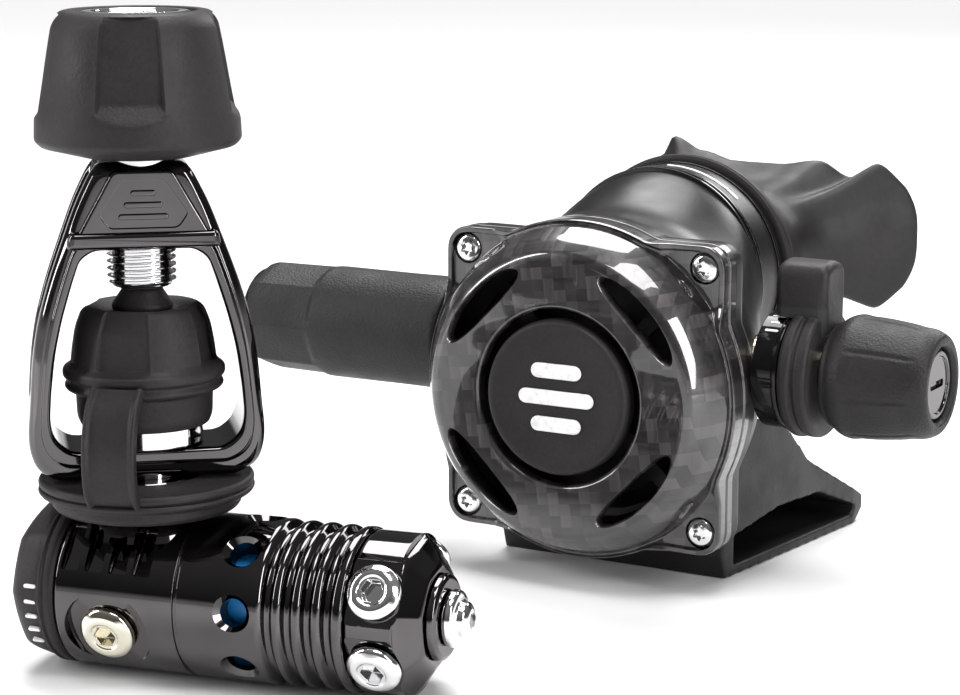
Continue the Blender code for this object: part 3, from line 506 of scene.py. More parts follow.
def make_yoke_knob():
    profile = [(12.6, 118.0), (21.6, 120.3, 0.5), (22.9, 121.6, 0.7), (22.7, 127.0, 1.5), (21.4, 134.0, 3.0),
               (20.2, 141.0, 3.0), (18.9, 147.6, 2.4), (16.4, 150.0, 1.6), (13.6, 150.0, 0.4), (12.9, 148.7)]
    floors = [(125.4, 23.0), (127.0, 22.2), (130.4, 19.3), (131.4, 18.9), (141.0, 18.1), (148.8, 16.6),
              (149.4, 16.0)]
    knob = panelled("fine_yoke_knob", profile, floors, 19.5, -8.2, YOKE)
    bore = turned("knob_bore", [(SCREW_R + GAP, 117.0), (SCREW_R + GAP, 140.6)], YOKE)
    combine(knob, [bore])
    polish(knob, "dark_rubber", "yoke_knob", "yoke_knob")
    insert = turned("fine_knob_insert", [(12.3, 148.9), (12.3, 149.5, 0.3), (11.6, 149.8, 0.4),
                                         (9.6, 149.8, 0.3), (9.2, 149.3, 0.3), (0.4, 149.3)], YOKE)
    for k in range(6):
        a = math.pi * k / 3.0
        dimple = turned("dimple", [(1.1, 148.95), (1.5, 149.6)],
                        YOKE @ moved(5.6 * math.cos(a), 5.6 * math.sin(a), 0), segments=24)
        combine(insert, [dimple])
    polish(insert, "bright_chrome", "yoke_knob", "knob_insert", slot="stainless_steel")


def threaded(angle, radius, z):
    """Radius of a single-start thread with rounded crests, which grows out of its core at the tip."""
    phase = (z / THREAD_PITCH - angle / math.tau) % 1.0
    wave = clamped(1.55 * abs(2.0 * phase - 1.0) - 0.2)
    run = min(1.0, (z - SCREW_BOTTOM) / THREAD_PITCH)
    return CORE_R + (radius - THREAD_DEPTH * wave - CORE_R) * run


def make_yoke_screw():
    steps = 78
    low = SCREW_BOTTOM + 0.6
    heights = [low + (THREAD_TOP - low) * k / steps for k in range(steps + 1)]
    tip = ((5.6, SCREW_BOTTOM), (6.4, SCREW_BOTTOM + 0.3))
    rings = [circle(r, z, segments=SCREW_SEGMENTS) for r, z in tip]
    rings += [circle(SCREW_R, z, segments=SCREW_SEGMENTS, shape=threaded) for z in heights]
    rings += [circle(SCREW_R, z, segments=SCREW_SEGMENTS) for z in (THREAD_TOP + 0.5, 118.5, 139.6)]
    screw = loft("fine_yoke_screw", rings, YOKE)
    polish(screw, "bright_chrome", "yoke_knob", "yoke_screw", sharp=60.0)
    tip = turned("fine_screw_tip", [(6.0, 83.5), (6.8, 83.6, 0.3), (6.9, 84.6, 0.5), (5.4, 86.8, 1.2),
                                    (4.6, 88.0, 0.4), (4.4, 88.2)], YOKE)
    polish(tip, "dark_rubber", "screw_tip", "screw_tip", slot="black_plastic")


def mirrored(half):
    """Closed outline from its right half."""
    return rounded(half + [(-p[0], *p[1:]) for p in reversed(half)], True)


def yoke_outline():
    half = [(20.0, 46.0, 1.5), (24.6, 48.4, 3.0), (26.2, 53.0, 3.0), (26.4, 57.0, 3.0), (25.8, 63.0, 4.0),
            (25.0, 73.5, 4.0), (23.6, 82.0, 4.0), (21.0, 91.0, 4.0), (18.3, 98.5, 4.0), (14.8, 108.0, 4.0),
            (11.4, 114.8, 2.0), (9.6, 117.2, 1.5)]
    return mirrored(half)


def window_outline():
    half = [(17.0, 53.0, 2.0), (20.6, 56.0, 2.5), (21.5, 60.0, 3.0), (21.0, 67.0, 3.0), (20.0, 75.0, 3.0),
            (18.2, 83.0, 3.0), (15.6, 91.5, 3.0), (14.0, 96.0, 1.5), (11.0, 98.0, 1.5)]
    return mirrored(half)


def ray_hit(outline, centre, angle):
    """Distance from the centre to a closed outline along a ray."""
    dx, dz = math.cos(angle), math.sin(angle)
    best = 0.0
    for (x0, z0), (x1, z1) in zip(outline, outline[1:] + outline[:1]):
        ax, az, ex, ez = x0 - centre[0], z0 - centre[1], x1 - x0, z1 - z0
        cross = dx * ez - dz * ex
        if abs(cross) < 1e-9:
            continue
        t = (ax * ez - az * ex) / cross
        s = (ax * dz - az * dx) / cross
        if t > 0.0 and -1e-6 <= s <= 1.000001:
            best = max(best, t)
    return best


def yoke_section(inner, outer, groove):
    """Closed section of the frame, from the window's wall round to it: (radius, depth)."""
    wide = outer - inner
    front = [(inner, -8.9, 1.0), (inner + 0.5, -9.9, 0.7), (inner + 0.40 * wide, -10.0, 0.5),
             (inner + 0.48 * wide, -9.1, 0.4), (outer - 1.9, -9.0, 1.2), (outer, -7.2, 1.6),
             (outer, -4.6, 0.8), (outer - groove, -3.4, 0.9)]
    return rounded(front + [(r, -w, cut) for r, w, cut in reversed(front)], True, 4)


def make_yoke():
    """Forged frame with a channel down its outer sides, and a plate with a badge on each face."""
    centre = (0.0, 76.0)
    outer, window = yoke_outline(), window_outline()
    rings = []
    count = 220
    for k in range(count):
        angle = math.tau * (k + 0.5) / count
        far = ray_hit(outer, centre, angle)
        near = ray_hit(window, centre, angle)
        z = centre[1] + far * math.sin(angle)
        fade = clamped((z - 62.0) / 9.0) * clamped((116.5 - z) / 2.0)
        groove = 0.02 + 3.0 * fade * fade * (3.0 - 2.0 * fade)
        rings.append([(r * math.cos(angle), w, centre[1] + r * math.sin(angle))
                      for r, w in yoke_section(near, far, groove)])
    yoke = loft("fine_yoke", rings, YOKE, True)
    plate = rounded([(-15.4, 100.2, 1.0), (15.4, 100.2, 1.0), (6.6, 115.8, 1.5), (-6.6, 115.8, 1.5)], True)
    bar = rounded([(-17.0, 98.6, 1.2), (17.0, 98.6, 1.2), (16.2, 102.4, 1.2), (-16.2, 102.4, 1.2)], True)
    badge = rounded([(-9.9, 106.2, 1.2), (-7.6, 103.0, 1.2), (7.6, 103.0, 1.2), (9.9, 106.2, 1.2),
                     (4.6, 113.9, 1.2), (-4.6, 113.9, 1.2)], True)
    parts = [slab("plate", [(z, x) for x, z in plate], -11.2, 11.2, YOKE, edge=0.7),
             slab("bar", [(z, x) for x, z in bar], -12.0, 12.0, YOKE, edge=1.3)]
    combine(yoke, parts, "UNION")
    cuts = []
    for side in (-1.0, 1.0):
        low, high = sorted((side * 10.5, side * 14.0))
        cuts.append(slab("badge", [(z, x) for x, z in badge], low, high, YOKE, edge=0.25))
    cuts.append(turned("screw_bore", [(SCREW_R + GAP, 96.0), (SCREW_R + GAP, 116.4), (SCREW_R + 1.3, 117.6),
                                      (SCREW_R + 1.3, 119.0)], YOKE))
    cuts.append(turned("base_bore", [(8.4, 44.0), (8.4, 56.0)], YOKE))
    combine(yoke, cuts)
    polish(yoke, "dark_chrome", "first_stage", "yoke", sharp=40.0)
    for side, word in ((-1.0, "front"), (1.0, "rear")):
        low, high = sorted((side * 10.4, side * 11.0))
        marks = [slab(f"mark_{i}", pill(length, 1.3, (z, 0.0), 0.5 * math.pi), low, high, YOKE, edge=0.3)
                 for i, (z, length) in enumerate(((105.6, 11.0), (108.2, 8.6), (110.8, 5.6)))]
        mark(f"badge_bars_{word}", marks, "dark_chrome", "dark_chrome", "first_stage")


def make_retainer():
    profile = [(8.0, 37.0), (8.0, 53.3), (13.0, 53.3, 0.5), (13.0, 58.0, 0.7), (10.8, 58.6, 0.4),
               (10.8, 64.0, 0.5), (6.4, 64.0, 0.3), (6.4, 56.0), (3.2, 56.0), (3.2, 37.0)]
    polish(turned("fine_yoke_retainer", profile, FIRST, loop=True), "bright_chrome", "first_stage",
           "yoke_retainer")


def make_dust_cap():
    profile = [(13.3, 59.2), (13.3, 57.6), (14.4, 57.6, 0.4), (15.2, 59.5, 1.0), (15.4, 65.2, 0.6),
               (17.4, 65.8, 0.6), (17.9, 66.6, 0.5), (17.4, 67.5, 0.4), (17.4, 68.1, 0.3), (18.2, 68.8, 0.5),
               (18.2, 70.4, 0.6), (17.0, 71.3, 0.5), (16.4, 72.0, 0.4), (16.0, 75.5, 1.0), (15.2, 80.0, 1.5),
               (13.8, 83.6, 1.6), (12.4, 84.7, 0.9), (10.4, 84.4, 0.8), (8.0, 83.3, 0.6), (6.9, 83.2)]
    floors = [(70.9, 16.7), (72.0, 14.5), (80.0, 13.5), (84.2, 11.6), (84.7, 11.0)]
    cap = panelled("fine_dust_cap", profile, floors, 22.0, -89.4, CAP)
    combine(cap, [turned("cap_hollow", [(11.1, 57.0), (11.1, 66.4)], CAP)])
    polish(cap, "dark_rubber", "dust_cap", "dust_cap")


def make_tether():
    """Ridged ring round the neck, and the strap that runs from its front up to the dust cap."""
    profile = [(NECK_R + 0.4, 38.2), (20.6, 38.2, 0.5), (21.4, 39.2, 0.5), (21.4, 41.2, 0.6),
               (24.0, 41.8, 0.6), (24.5, 42.6, 0.4), (24.3, 43.2, 0.3), (23.6, 43.5, 0.25),
               (24.3, 43.9, 0.3), (24.4, 44.8, 0.5), (23.8, 45.6, 0.5), (NECK_R + 0.4, 45.6)]
    ring = turned("fine_tether", profile, CAP, loop=True)
    section = rounded([(-6.0, -1.2, 0.5), (6.0, -1.2, 0.5), (6.0, 1.1, 0.5), (5.2, 1.5, 0.5),
                       (4.4, 0.7, 0.4), (-4.4, 0.7, 0.4), (-5.2, 1.5, 0.5), (-6.0, 1.1, 0.5)], True, 4)
    line = smooth_rows([(-22.4, 43.2), (-25.1, 46.8), (-26.2, 53.0), (-25.2, 60.0), (-22.8, 65.0),
                        (-19.0, 68.2)], 7)
    rings = []
    for i, (y, z) in enumerate(line):
        ahead, behind = line[min(i + 1, len(line) - 1)], line[max(i - 1, 0)]
        run = Vector((0.0, ahead[0] - behind[0], ahead[1] - behind[1])).normalized()
        out = run.cross(Vector((1.0, 0.0, 0.0)))
        if out.y > 0.0:
            out = -out
        rings.append([(u, y + v * out.y, z + v * out.z) for u, v in section])
    combine(ring, [loft("strap", rings, CAP)], "UNION")
    polish(ring, "dark_rubber", "dust_cap", "dust_cap_tether")


def barrel_profile():
    """Closed section of the barrel: outside with its ring grooves, then the bore."""
    r = BARREL_R
    outer = [(7.0, BODY_START), (r - 0.4, BODY_START, 0.3), (r, BODY_START + 0.5, 0.3),
             (r, 14.6, 0.2), (r - 0.5, 14.8, 0.1), (r - 0.5, 15.4, 0.1), (r, 15.6, 0.2), (r, 35.0, 0.8)]
    for i in range(4):
        left = 35.6 + 4.7 * i
        outer += [(r - 1.9, left + 0.9, 0.9), (r - 1.9, left + 2.0, 0.9), (r - 0.1, left + 3.0, 0.7),
                  (r - 0.1, left + 4.2, 0.7)]
    outer += [(r - 0.2, BODY_END - 0.6, 0.4), (r - 0.9, BODY_END, 0.4)]
    return outer + [(8.0, BODY_END), (8.0, BODY_END - 4.0), (13.2, BODY_END - 4.0), (13.2, -8.0),
                    (7.0, -8.0)]


def make_main_body():
    """Barrel with its neck, spot faces, chamfered water holes and ribbed grips."""
    centre = (0.0, BARREL_R)
    body = turned("fine_main_body", barrel_profile(), FIRST, "X", centre, 128, True)
    neck = turned("neck", [(NECK_R + 4.0, 33.0), (NECK_R + 2.2, 36.6, 1.5), (NECK_R, 37.8, 0.8),
                           (NECK_R, NECK_TOP - 0.4, 0.3), (NECK_R - 0.4, NECK_TOP)], FIRST)
    combine(body, [neck], "UNION")
    cuts = [turned("inlet_bore", [(8.4, 28.0), (8.4, NECK_TOP + 1.0)], FIRST)]
    for i in range(HOLE_COUNT):
        at = radial_frame(HOLE_FIRST + 360.0 * i / HOLE_COUNT, HOLE_X, BARREL)
        cuts.append(turned("water_hole", [(3.2, 10.0), (3.2, 17.2), (4.4, 18.5), (5.6, 20.4)], at,
                           segments=48))
    for angle in SIDE_ANGLES:
        at = radial_frame(angle, SIDE_X, BARREL)
        cuts.append(turned("side_seat", [(4.6, 8.0), (4.6, 16.9), (9.9, 16.9), (10.3, 17.4), (10.9, 24.0)],
                           at, segments=80))
    for i in range(4):
        at = radial_frame(41.0, -11.2 + 5.9 * i, BARREL)
        outline = rounded([(-2.2, -5.6, 0.8), (2.2, -5.6, 0.8), (2.2, 5.6, 0.8), (-2.2, 5.6, 0.8)], True)
        cuts.append(slab("grip", outline, 17.1, 22.0, at, "Z", 0.4))
    combine(body, cuts)
    polish(body, "dark_chrome", "first_stage", "main_body", sharp=35.0, bevel=0.12)


def facet(count, turn, amount):
    """Shape that flattens a round section into count flats, by amount(radius, w)."""
    pitch = math.tau / count

    def change(angle, radius, w):
        off = (angle - turn + 0.5 * pitch) % pitch - 0.5 * pitch
        flat = math.cos(0.5 * pitch) / math.cos(off)
        share = amount(radius, w)
        return radius * (1.0 - share + share * flat)
    return change


def make_end_cap():
    """Rubber bumper with eight flats, an edge lip and raised bars round its band."""
    profile = [(2.0, -28.0), (10.5, -27.9, 1.0), (15.2, -27.1, 1.5), (18.0, -24.6, 2.2), (19.1, -20.0, 1.6),
               (19.2, -18.0, 0.3), (18.8, -17.7, 0.2), (18.8, -17.2, 0.2), (19.2, -16.9, 0.3),
               (19.2, -15.6, 0.5), (18.4, -15.0)]
    cap = turned("fine_end_cap", profile, FIRST, "X", (0.0, 19.2), 128,
                 shape=facet(8, math.radians(22.5), lambda r, w: 0.55 if -27.5 < w < -18.5 else 0.0))
    polish(cap, "dark_rubber", "first_stage", "end_cap")
    axis = FIRST @ moved(0.0, 0.0, 19.2)
    bars = []
    for k in range(5):
        at = radial_frame(-36.0 + 11.0 * k, -20.6, axis)
        bars.append(slab(f"cap_bar_{k}", pill(3.0, 0.9), 18.0, 19.0, at, "Z", 0.25))
    mark("end_cap_bars", bars, "print", "dark_rubber", "first_stage")


def make_plug(node, at, head_r, low, high, body, material):
    """Port plug: domed head with a chamfered rim and a deep hexagon socket."""
    profile = [(head_r - 0.5, low), (head_r, low + 0.5, 0.3), (head_r, high - 1.3, 0.9),
               (head_r - 1.6, high, 0.9), (3.5, high, 0.3), (3.1, high - 0.4)]
    plug = turned("fine_" + node, profile, at, segments=80)
    shank = turned("shank", [(3.7, low - 5.0), (3.7, low + 0.3)], at, segments=48)
    combine(plug, [shank], "UNION")
    hexagon_r = 4.8 / math.sqrt(3.0)
    socket = loft("socket", [circle(hexagon_r, w, segments=6) for w in (high - 3.2, high + 1.0)], at)
    combine(plug, [socket])
    polish(plug, material, body, node, slot="bright_chrome", bevel=0.1)


def make_plugs():
    for node, angle in zip(("side_plug_front", "side_plug_rear"), SIDE_ANGLES):
        make_plug(node, radial_frame(angle, SIDE_X, BARREL), 6.5, 17.2, 20.2, "first_stage",
                  "champagne")
    for i, angle in enumerate(LP_ANGLES):
        make_plug(f"lp_plug_{i + 1}", radial_frame(angle, LP_X, BARREL), 6.2, 16.6, 19.6,
                  "turret", "bright_chrome")


def make_turret():
    """Swivel turret: flats round its ports and a faceted nose."""
    r = TURRET_R
    profile = [(8.4, BODY_END + 0.3), (r - 0.6, BODY_END + 0.3, 0.4), (r, BODY_END + 1.0, 0.4),
               (r, 66.4, 0.5), (r - 1.0, 67.3, 0.4), (12.2, 70.6, 0.5), (11.3, TURRET_END, 0.3),
               (8.0, TURRET_END), (8.0, 58.0), (8.4, 58.0)]
    body = turned("fine_lp_turret", profile, BARREL, "X", segments=128, loop=True,
                  shape=facet(8, math.radians(10.0), lambda r, w: 0.8 if w > 66.2 and r > 10.0 else 0.0))
    cuts = []
    for angle in LP_ANGLES:
        at = radial_frame(angle, LP_X, BARREL)
        outline = rounded([(-7.1, -7.6, 1.5), (7.0, -7.6, 1.5), (7.0, 7.6, 1.5), (-7.1, 7.6, 1.5)], True)
        cuts.append(slab("spot_face", outline, 16.3, 22.0, at, "Z", 0.3))
        cuts.append(turned("lp_port", [(4.0, 8.0), (4.0, 18.0)], at, segments=48))
    combine(body, cuts)
    polish(body, "dark_chrome", "turret", "lp_turret", sharp=35.0, bevel=0.12)
    retainer = [(4.0, 58.4), (7.6, 58.4), (7.6, 71.3), (9.8, 71.3, 0.3), (9.6, 72.6, 0.4), (8.6, 73.2, 0.3),
                (4.0, 73.2)]
    polish(turned("fine_swivel_retainer", retainer, BARREL, "X", loop=True), "dark_chrome", "turret",
           "swivel_retainer")
    plug = [(3.7, 62.0), (3.7, 73.5), (6.3, 73.5, 0.3), (6.5, 74.6, 0.5), (6.2, 75.6, 0.5), (5.2, 76.0, 0.4),
            (4.2, 76.1, 0.3), (3.9, 77.6, 0.5), (2.4, 78.6, 0.5), (1.2, 78.6)]
    plug = turned("fine_lp_plug_axial", plug, BARREL, "X", segments=80)
    combine(plug, [loft("socket", [circle(2.1, w, "X", segments=6) for w in (77.2, 79.4)], BARREL)])
    polish(plug, "bright_chrome", "turret", "lp_plug_axial")


def make_bush():
    profile = [(12.0, 16.0), (12.9, 16.0, 0.2), (12.9, 42.0, 0.2), (12.0, 42.0)]
    polish(turned("fine_ambient_bush", profile, FIRST, "X", (0.0, BARREL_R), loop=True), "blue_plastic",
           "first_stage", "ambient_bush")


# ---------------------------------------------------------------- second stage

# Signs of x and z at the four corners, clockwise from the upper left.
CORNERS = ((-1, 1), (1, 1), (1, -1), (-1, -1))


def cover_edge(angle):
    """Radius of the cover's rim: round, with the rounded corners of a square standing out of it."""
    def plain(a):
        off = abs((a % (0.5 * math.pi)) - 0.25 * math.pi)
        reach = SCREW_SQUARE * math.sqrt(2.0)
        side = SCREW_SQUARE + EAR_R
        if off < 0.25 * math.pi - math.atan2(SCREW_SQUARE, side):
            return reach * math.cos(off) + math.sqrt(EAR_R ** 2 - (reach * math.sin(off)) ** 2)
        return max(RIM_R, side / math.cos(0.25 * math.pi - off))
    spread = math.radians(1.5)
    return sum(plain(angle + spread * k / 4) for k in range(-4, 5)) / 9.0


def cover_rings():
    rings = []
    count = 480
    for k in range(count):
        angle = math.tau * k / count
        edge = max(RIM_R, cover_edge(angle))
        ear = min(1.0, (edge - RIM_R) / 3.0)
        bead = min(1.9, 0.55 + 0.8 * (edge - RIM_R))
        rows = [(BUTTON_HOLE_R, FACE_Y + 3.0), (BUTTON_HOLE_R, FACE_Y + 0.8, 0.5),
                (BUTTON_HOLE_R + 0.8, FACE_Y, 0.6), (FACE_R - 1.0, FACE_Y, 1.0),
                (FACE_R + 0.6, FACE_Y + 0.7, 0.8), (39.6, -10.4, 2.0), (41.9, -5.2, 1.5),
                (42.2 + 0.2 * ear, -4.0 + 2.9 * ear, 0.6), (edge - bead - 0.2, -4.0 + 3.0 * ear, 0.3),
                (edge - bead + 0.1, -4.3 + 2.2 * ear, 0.3), (edge - 0.3, -4.3 + 2.2 * ear, 0.3),
                (edge, -3.6 + 2.2 * ear, 0.5), (edge, 1.0, 0.3), (edge - 0.5, 1.3, 0.2),
                (edge - 0.5, 1.9, 0.2), (edge, 2.2, 0.3), (edge, 5.0), (40.4, 5.0), (40.4, -0.6),
                (38.6, -6.0), (35.4, FACE_Y + 3.0)]
        line = rounded(rows, True, 4)
        rings.append([(r * math.cos(angle), y, r * math.sin(angle)) for r, y in line])
    return rings


def slot_outline(sx, sz, grow=0.0, count=40):
    """Slim oval slot across a diagonal, as (z, x) points."""
    points = []
    for k in range(count):
        angle = math.tau * k / count
        out = SLOT_R + (SLOT_HALF_WIDTH + grow) * math.cos(angle)
        side = (SLOT_HALF_LENGTH + grow) * math.copysign(abs(math.sin(angle)) ** 0.9, math.sin(angle))
        out -= side * side / SLOT_BEND
        points.append((math.sqrt(0.5) * (sz * out + sx * side), math.sqrt(0.5) * (sx * out - sz * side)))
    return points


def make_cover():
    cover = loft("fine_front_cover", cover_rings(), STAGE, True)
    cuts = []
    for sx, sz in CORNERS:
        at = (sz * SCREW_SQUARE, sx * SCREW_SQUARE)
        cuts.append(turned("screw_hole", [(4.4, -6.0), (4.1, -1.2), (3.9, -0.6), (3.9, 2.4), (2.0, 2.4),
                                          (2.0, 6.0)],
                           STAGE, "Y", at, 64))
        rows = [(1.4, -1.5), (0.55, 0.0), (0.1, 0.5), (0.0, 1.2), (0.0, 7.0)]
        rings = [[along("Y", u, v, FACE_Y + y) for u, v in slot_outline(sx, sz, grow)] for grow, y in rows]
        cuts.append(loft("slot", rings, STAGE))
    combine(cover, cuts)
    polish(cover, "carbon_laminate", "second_stage", "front_cover", sharp=38.0)


def make_cover_screws():
    """Pan heads with a six-lobed recess."""
    for i, (sx, sz) in enumerate(CORNERS):
        at = STAGE @ moved(sx * SCREW_SQUARE, 0.0, sz * SCREW_SQUARE)
        head = turned(f"fine_cover_screw_{i + 1}", [(0.5, -2.0), (1.6, -2.0, 0.3), (3.0, -1.7, 0.6),
                                                    (3.75, -0.9, 0.5),
                                                  (3.75, 2.1, 0.2), (1.7, 2.1), (1.7, 11.5)], at, "Y",
                      segments=64)
        lobes = circle(1.55, -3.0, "Y", segments=60, shape=lambda a, r,
                       w: r * (1.0 + 0.2 * math.cos(6.0 * a)))
        floor = [(x, -0.9, z) for x, _, z in lobes]
        combine(head, [loft("recess", [lobes, floor], at)])
        polish(head, "bright_chrome", "second_stage", f"cover_screw_{i + 1}", bevel=0.06)


def make_purge():
    """Purge button: dished face, raised rim and three raised bars."""
    profile = [(0.5, FACE_Y - 0.2), (13.0, FACE_Y - 0.3, 2.0), (18.0, FACE_Y - 0.9, 0.8),
               (19.2, FACE_Y - 0.8, 0.6), (BUTTON_R, FACE_Y + 0.4, 0.7), (BUTTON_R, FACE_Y + 3.6),
               (4.6, FACE_Y + 3.6), (4.6, 4.9)]
    button = turned("fine_purge_button", profile, STAGE, "Y", segments=128)
    polish(button, "dark_rubber", "purge_button", "purge_button")
    bars = []
    for k, length in enumerate((14.0, 21.0, 14.0)):
        outline = pill(length, 3.8, (6.8 * (k - 1), 0.0), 0.5 * math.pi)
        bars.append(slab(f"purge_bar_{k}", outline, FACE_Y - 1.0, FACE_Y + 0.2, STAGE, "Y", 0.45))
    mark("purge_bars", bars, "print", "dark_rubber", "purge_button")


def case_rows():
    """Centre height, radius and depth of the case from the cover to the mouth tube."""
    rows = [(42.2, 0.0, 5.3), (42.2, 0.0, 11.0), (41.6, 1.4, 16.0), (39.4, 4.4, 21.5), (36.0, 10.2, 28.0),
            (32.4, 17.2, 36.0), (29.6, 21.8, 43.5), (29.5, 22.0, 50.0), (29.5, 22.0, 56.0)]
    return smooth_rows(rows, 4)


def make_case():
    rows = case_rows()
    case = loft("fine_case", [circle(r, y, "Y", (z, 0.0), 128) for r, z, y in rows], STAGE)
    edge = [(a, cover_edge(a)) for a in (math.tau * k / 240 for k in range(240))]
    flange = [[((far - r) * math.cos(a), y, (far - r) * math.sin(a)) for a, far in edge]
              for r, y in rounded([(1.0, 5.3, 0.2), (0.5, 5.9, 0.3), (0.5, 10.0, 1.0), (2.4, 12.6, 1.0),
                                   (5.0, 14.0)])]
    boss = turned("exhaust_boss", [(13.0, -36.5), (13.0, -5.0)], STAGE, "Z", (0.0, EXHAUST_Y))
    combine(case, [loft("flange", flange, STAGE), boss], "UNION")
    inside = [(42.2, 0.0, 3.0)] + rows[1:-1] + [(29.5, MOUTH_Z, 58.0)]
    inner = [circle(r - CASE_WALL, y, "Y", (z, 0.0)) for r, z, y in inside]
    bore = turned("valve_bore", [(VALVE_R + GAP, -60.0), (VALVE_R + GAP, 60.0)], VALVE, "X", segments=64)
    port = turned("exhaust_port", [(9.0, -40.5), (9.0, -4.0)], STAGE, "Z", (0.0, EXHAUST_Y), 64)
    combine(case, [loft("cavity", inner, STAGE), bore, port])
    polish(case, "black_plastic", "second_stage", "case", sharp=35.0, bevel=0.15)
    for k, (y, high) in enumerate(((40.4, 0.45), (42.6, 0.45), (53.8, 0.4))):
        profile = [(28.4, y), (29.5 + high, y, 0.3), (29.5 + high, y + 1.1, 0.3), (28.4, y + 1.1)]
        band = turned(f"tube_band_{k}", profile, STAGE, "Y", (MOUTH_Z, 0.0), 128, True)
        polish(band, "gloss_plastic", "second_stage", slot="black_plastic")
    marks = []
    for k in range(6):
        a = math.radians(52.0 + 7.0 * k)
        at = STAGE @ moved(0.0, 48.0, MOUTH_Z) @ Matrix.Rotation(-a + 0.5 * math.pi, 4, "Y")
        marks.append(slab(f"tube_mark_{k}", pill(4.6, 1.3), 29.2, 29.75, at, "Z", 0.15))
    mark("tube_marks", marks, "print", "black_plastic", "second_stage")


def make_collar():
    profile = [(VALVE_R + GAP, 44.2), (COLLAR_R - 0.3, 44.2, 0.3), (COLLAR_R - 0.3, 49.6, 0.2),
               (COLLAR_R + 0.1, 50.0, 0.2), (COLLAR_R, 51.0, 0.3), (VALVE_R + GAP, 51.0)]
    collar = turned("fine_valve_collar", profile, VALVE, "X", segments=128, loop=True)
    polish(collar, "gloss_plastic", "second_stage", "valve_collar")
    ticks = []
    for k in range(5):
        at = radial_frame(50.0 + 11.0 * k, 47.4, VALVE)
        outline = pill(2.4 if k % 2 else 3.6, 0.7)
        ticks.append(slab(f"collar_tick_{k}", outline, 14.2, 14.85, at, "Z", 0.1))
    mark("collar_ticks", ticks, "print", "gloss_plastic", "second_stage")


def make_shoulder():
    """Collar at the inlet side, trimmed to the case."""
    profile = [(VALVE_R + GAP, -55.6), (12.9, -55.6, 0.5), (13.3, -54.0, 0.6), (13.2, -47.0, 1.5),
               (11.0, -42.5), (VALVE_R + GAP, -42.5)]
    shoulder = turned("fine_inlet_shoulder", profile, VALVE, "X", segments=96, loop=True)
    trim = loft("trim", [circle(r + GAP, y, "Y", (z, 0.0)) for r, z, y in case_rows()], STAGE)
    combine(shoulder, [trim])
    polish(shoulder, "gloss_plastic", "second_stage", "inlet_shoulder")


def make_venturi_lever():
    """Ring on the valve's axis with a broad, cushioned paddle."""
    profile = [(VALVE_R + GAP, 51.4), (15.4, 51.4, 0.5), (16.4, 52.4, 0.6), (16.4, 54.2, 0.5),
               (15.6, 54.8, 0.4), (15.6, 55.4, 0.4), (16.2, 56.0, 0.5), (16.2, 58.2, 0.6), (15.4, 59.0, 0.4),
               (VALVE_R + GAP, 59.0)]
    lever = turned("fine_venturi_lever", profile, VALVE, "X", segments=128, loop=True)
    outline = rounded([(-5.6, 9.5), (5.6, 9.5), (6.8, 20.0, 5.0), (6.4, 27.0, 5.0), (0.5, 28.6, 5.0),
                       (-6.0, 27.4, 5.0), (-7.0, 20.0, 5.0)], True, 7)
    paddle = slab("paddle", outline, 46.6, 60.4, VALVE, "X", 2.2, 6)
    relief = turned("relief", [(5.0, 40.0), (15.6, 40.0), (15.6, 51.4), (5.0, 51.4)], VALVE, "X", loop=True)
    bore = turned("bore", [(VALVE_R + GAP, 40.0), (VALVE_R + GAP, 62.0)], VALVE, "X")
    combine(lever, [paddle], "UNION")
    combine(lever, [relief, bore])
    polish(lever, "dark_rubber", "venturi_lever", "venturi_lever", slot="black_plastic", bevel=0.25)


def fluted(angle, radius, w):
    """Eight shallow facets with a crease between them, along the middle of the knob."""
    pitch = 0.25 * math.pi
    off = (angle + 0.5 * pitch + 0.2) % pitch - 0.5 * pitch
    share = clamped((w - 67.0) / 3.0) * clamped((85.5 - w) / 3.0)
    share = share * share * (3.0 - 2.0 * share)
    flat = math.cos(0.5 * pitch) / math.cos(off)
    crease = math.exp(-((0.5 * pitch - abs(off)) / 0.035) ** 2)
    return radius * (1.0 - 0.35 * share * (1.0 - flat)) - 0.55 * share * crease


def make_adjust_knob():
    profile = [(12.2, 61.0), (13.0, 61.4, 0.5), (13.2, 62.6, 0.4), (14.6, 64.2, 1.0), (15.5, 66.4, 1.5),
               (15.6, 72.0, 4.0), (14.6, 81.0, 4.0), (13.2, 86.6, 2.0), (12.0, KNOB_END, 0.9),
               (9.9, KNOB_END, 0.4), (9.3, KNOB_END - 1.0, 0.3), (9.1, KNOB_END - 3.3, 0.2),
               (0.6, KNOB_END - 3.3)]
    knob = turned("fine_adjust_knob", profile, VALVE, "X", segments=256, shape=fluted)
    combine(knob, [turned("spindle_bore", [(6.0, 59.0), (6.0, 80.3)], VALVE, "X", segments=48)])
    polish(knob, "grained_rubber", "adjust_knob", "adjust_knob", slot="dark_rubber", sharp=50.0)
    insert = [(8.9, KNOB_END - 3.0), (8.9, KNOB_END - 1.5, 0.3), (8.2, KNOB_END - 1.0, 0.3),
              (7.2, KNOB_END - 1.0, 0.2), (7.0, KNOB_END - 1.5, 0.2), (0.5, KNOB_END - 1.5)]
    plate = turned("fine_adjust_insert", insert, VALVE, "X", segments=96)
    combine(plate, [slab("slot", pill(9.0, 1.8), KNOB_END - 2.4, KNOB_END, VALVE, "X", 0.2)])
    polish(plate, "dark_chrome", "adjust_knob", "adjust_insert", slot="bright_chrome", bevel=0.1)


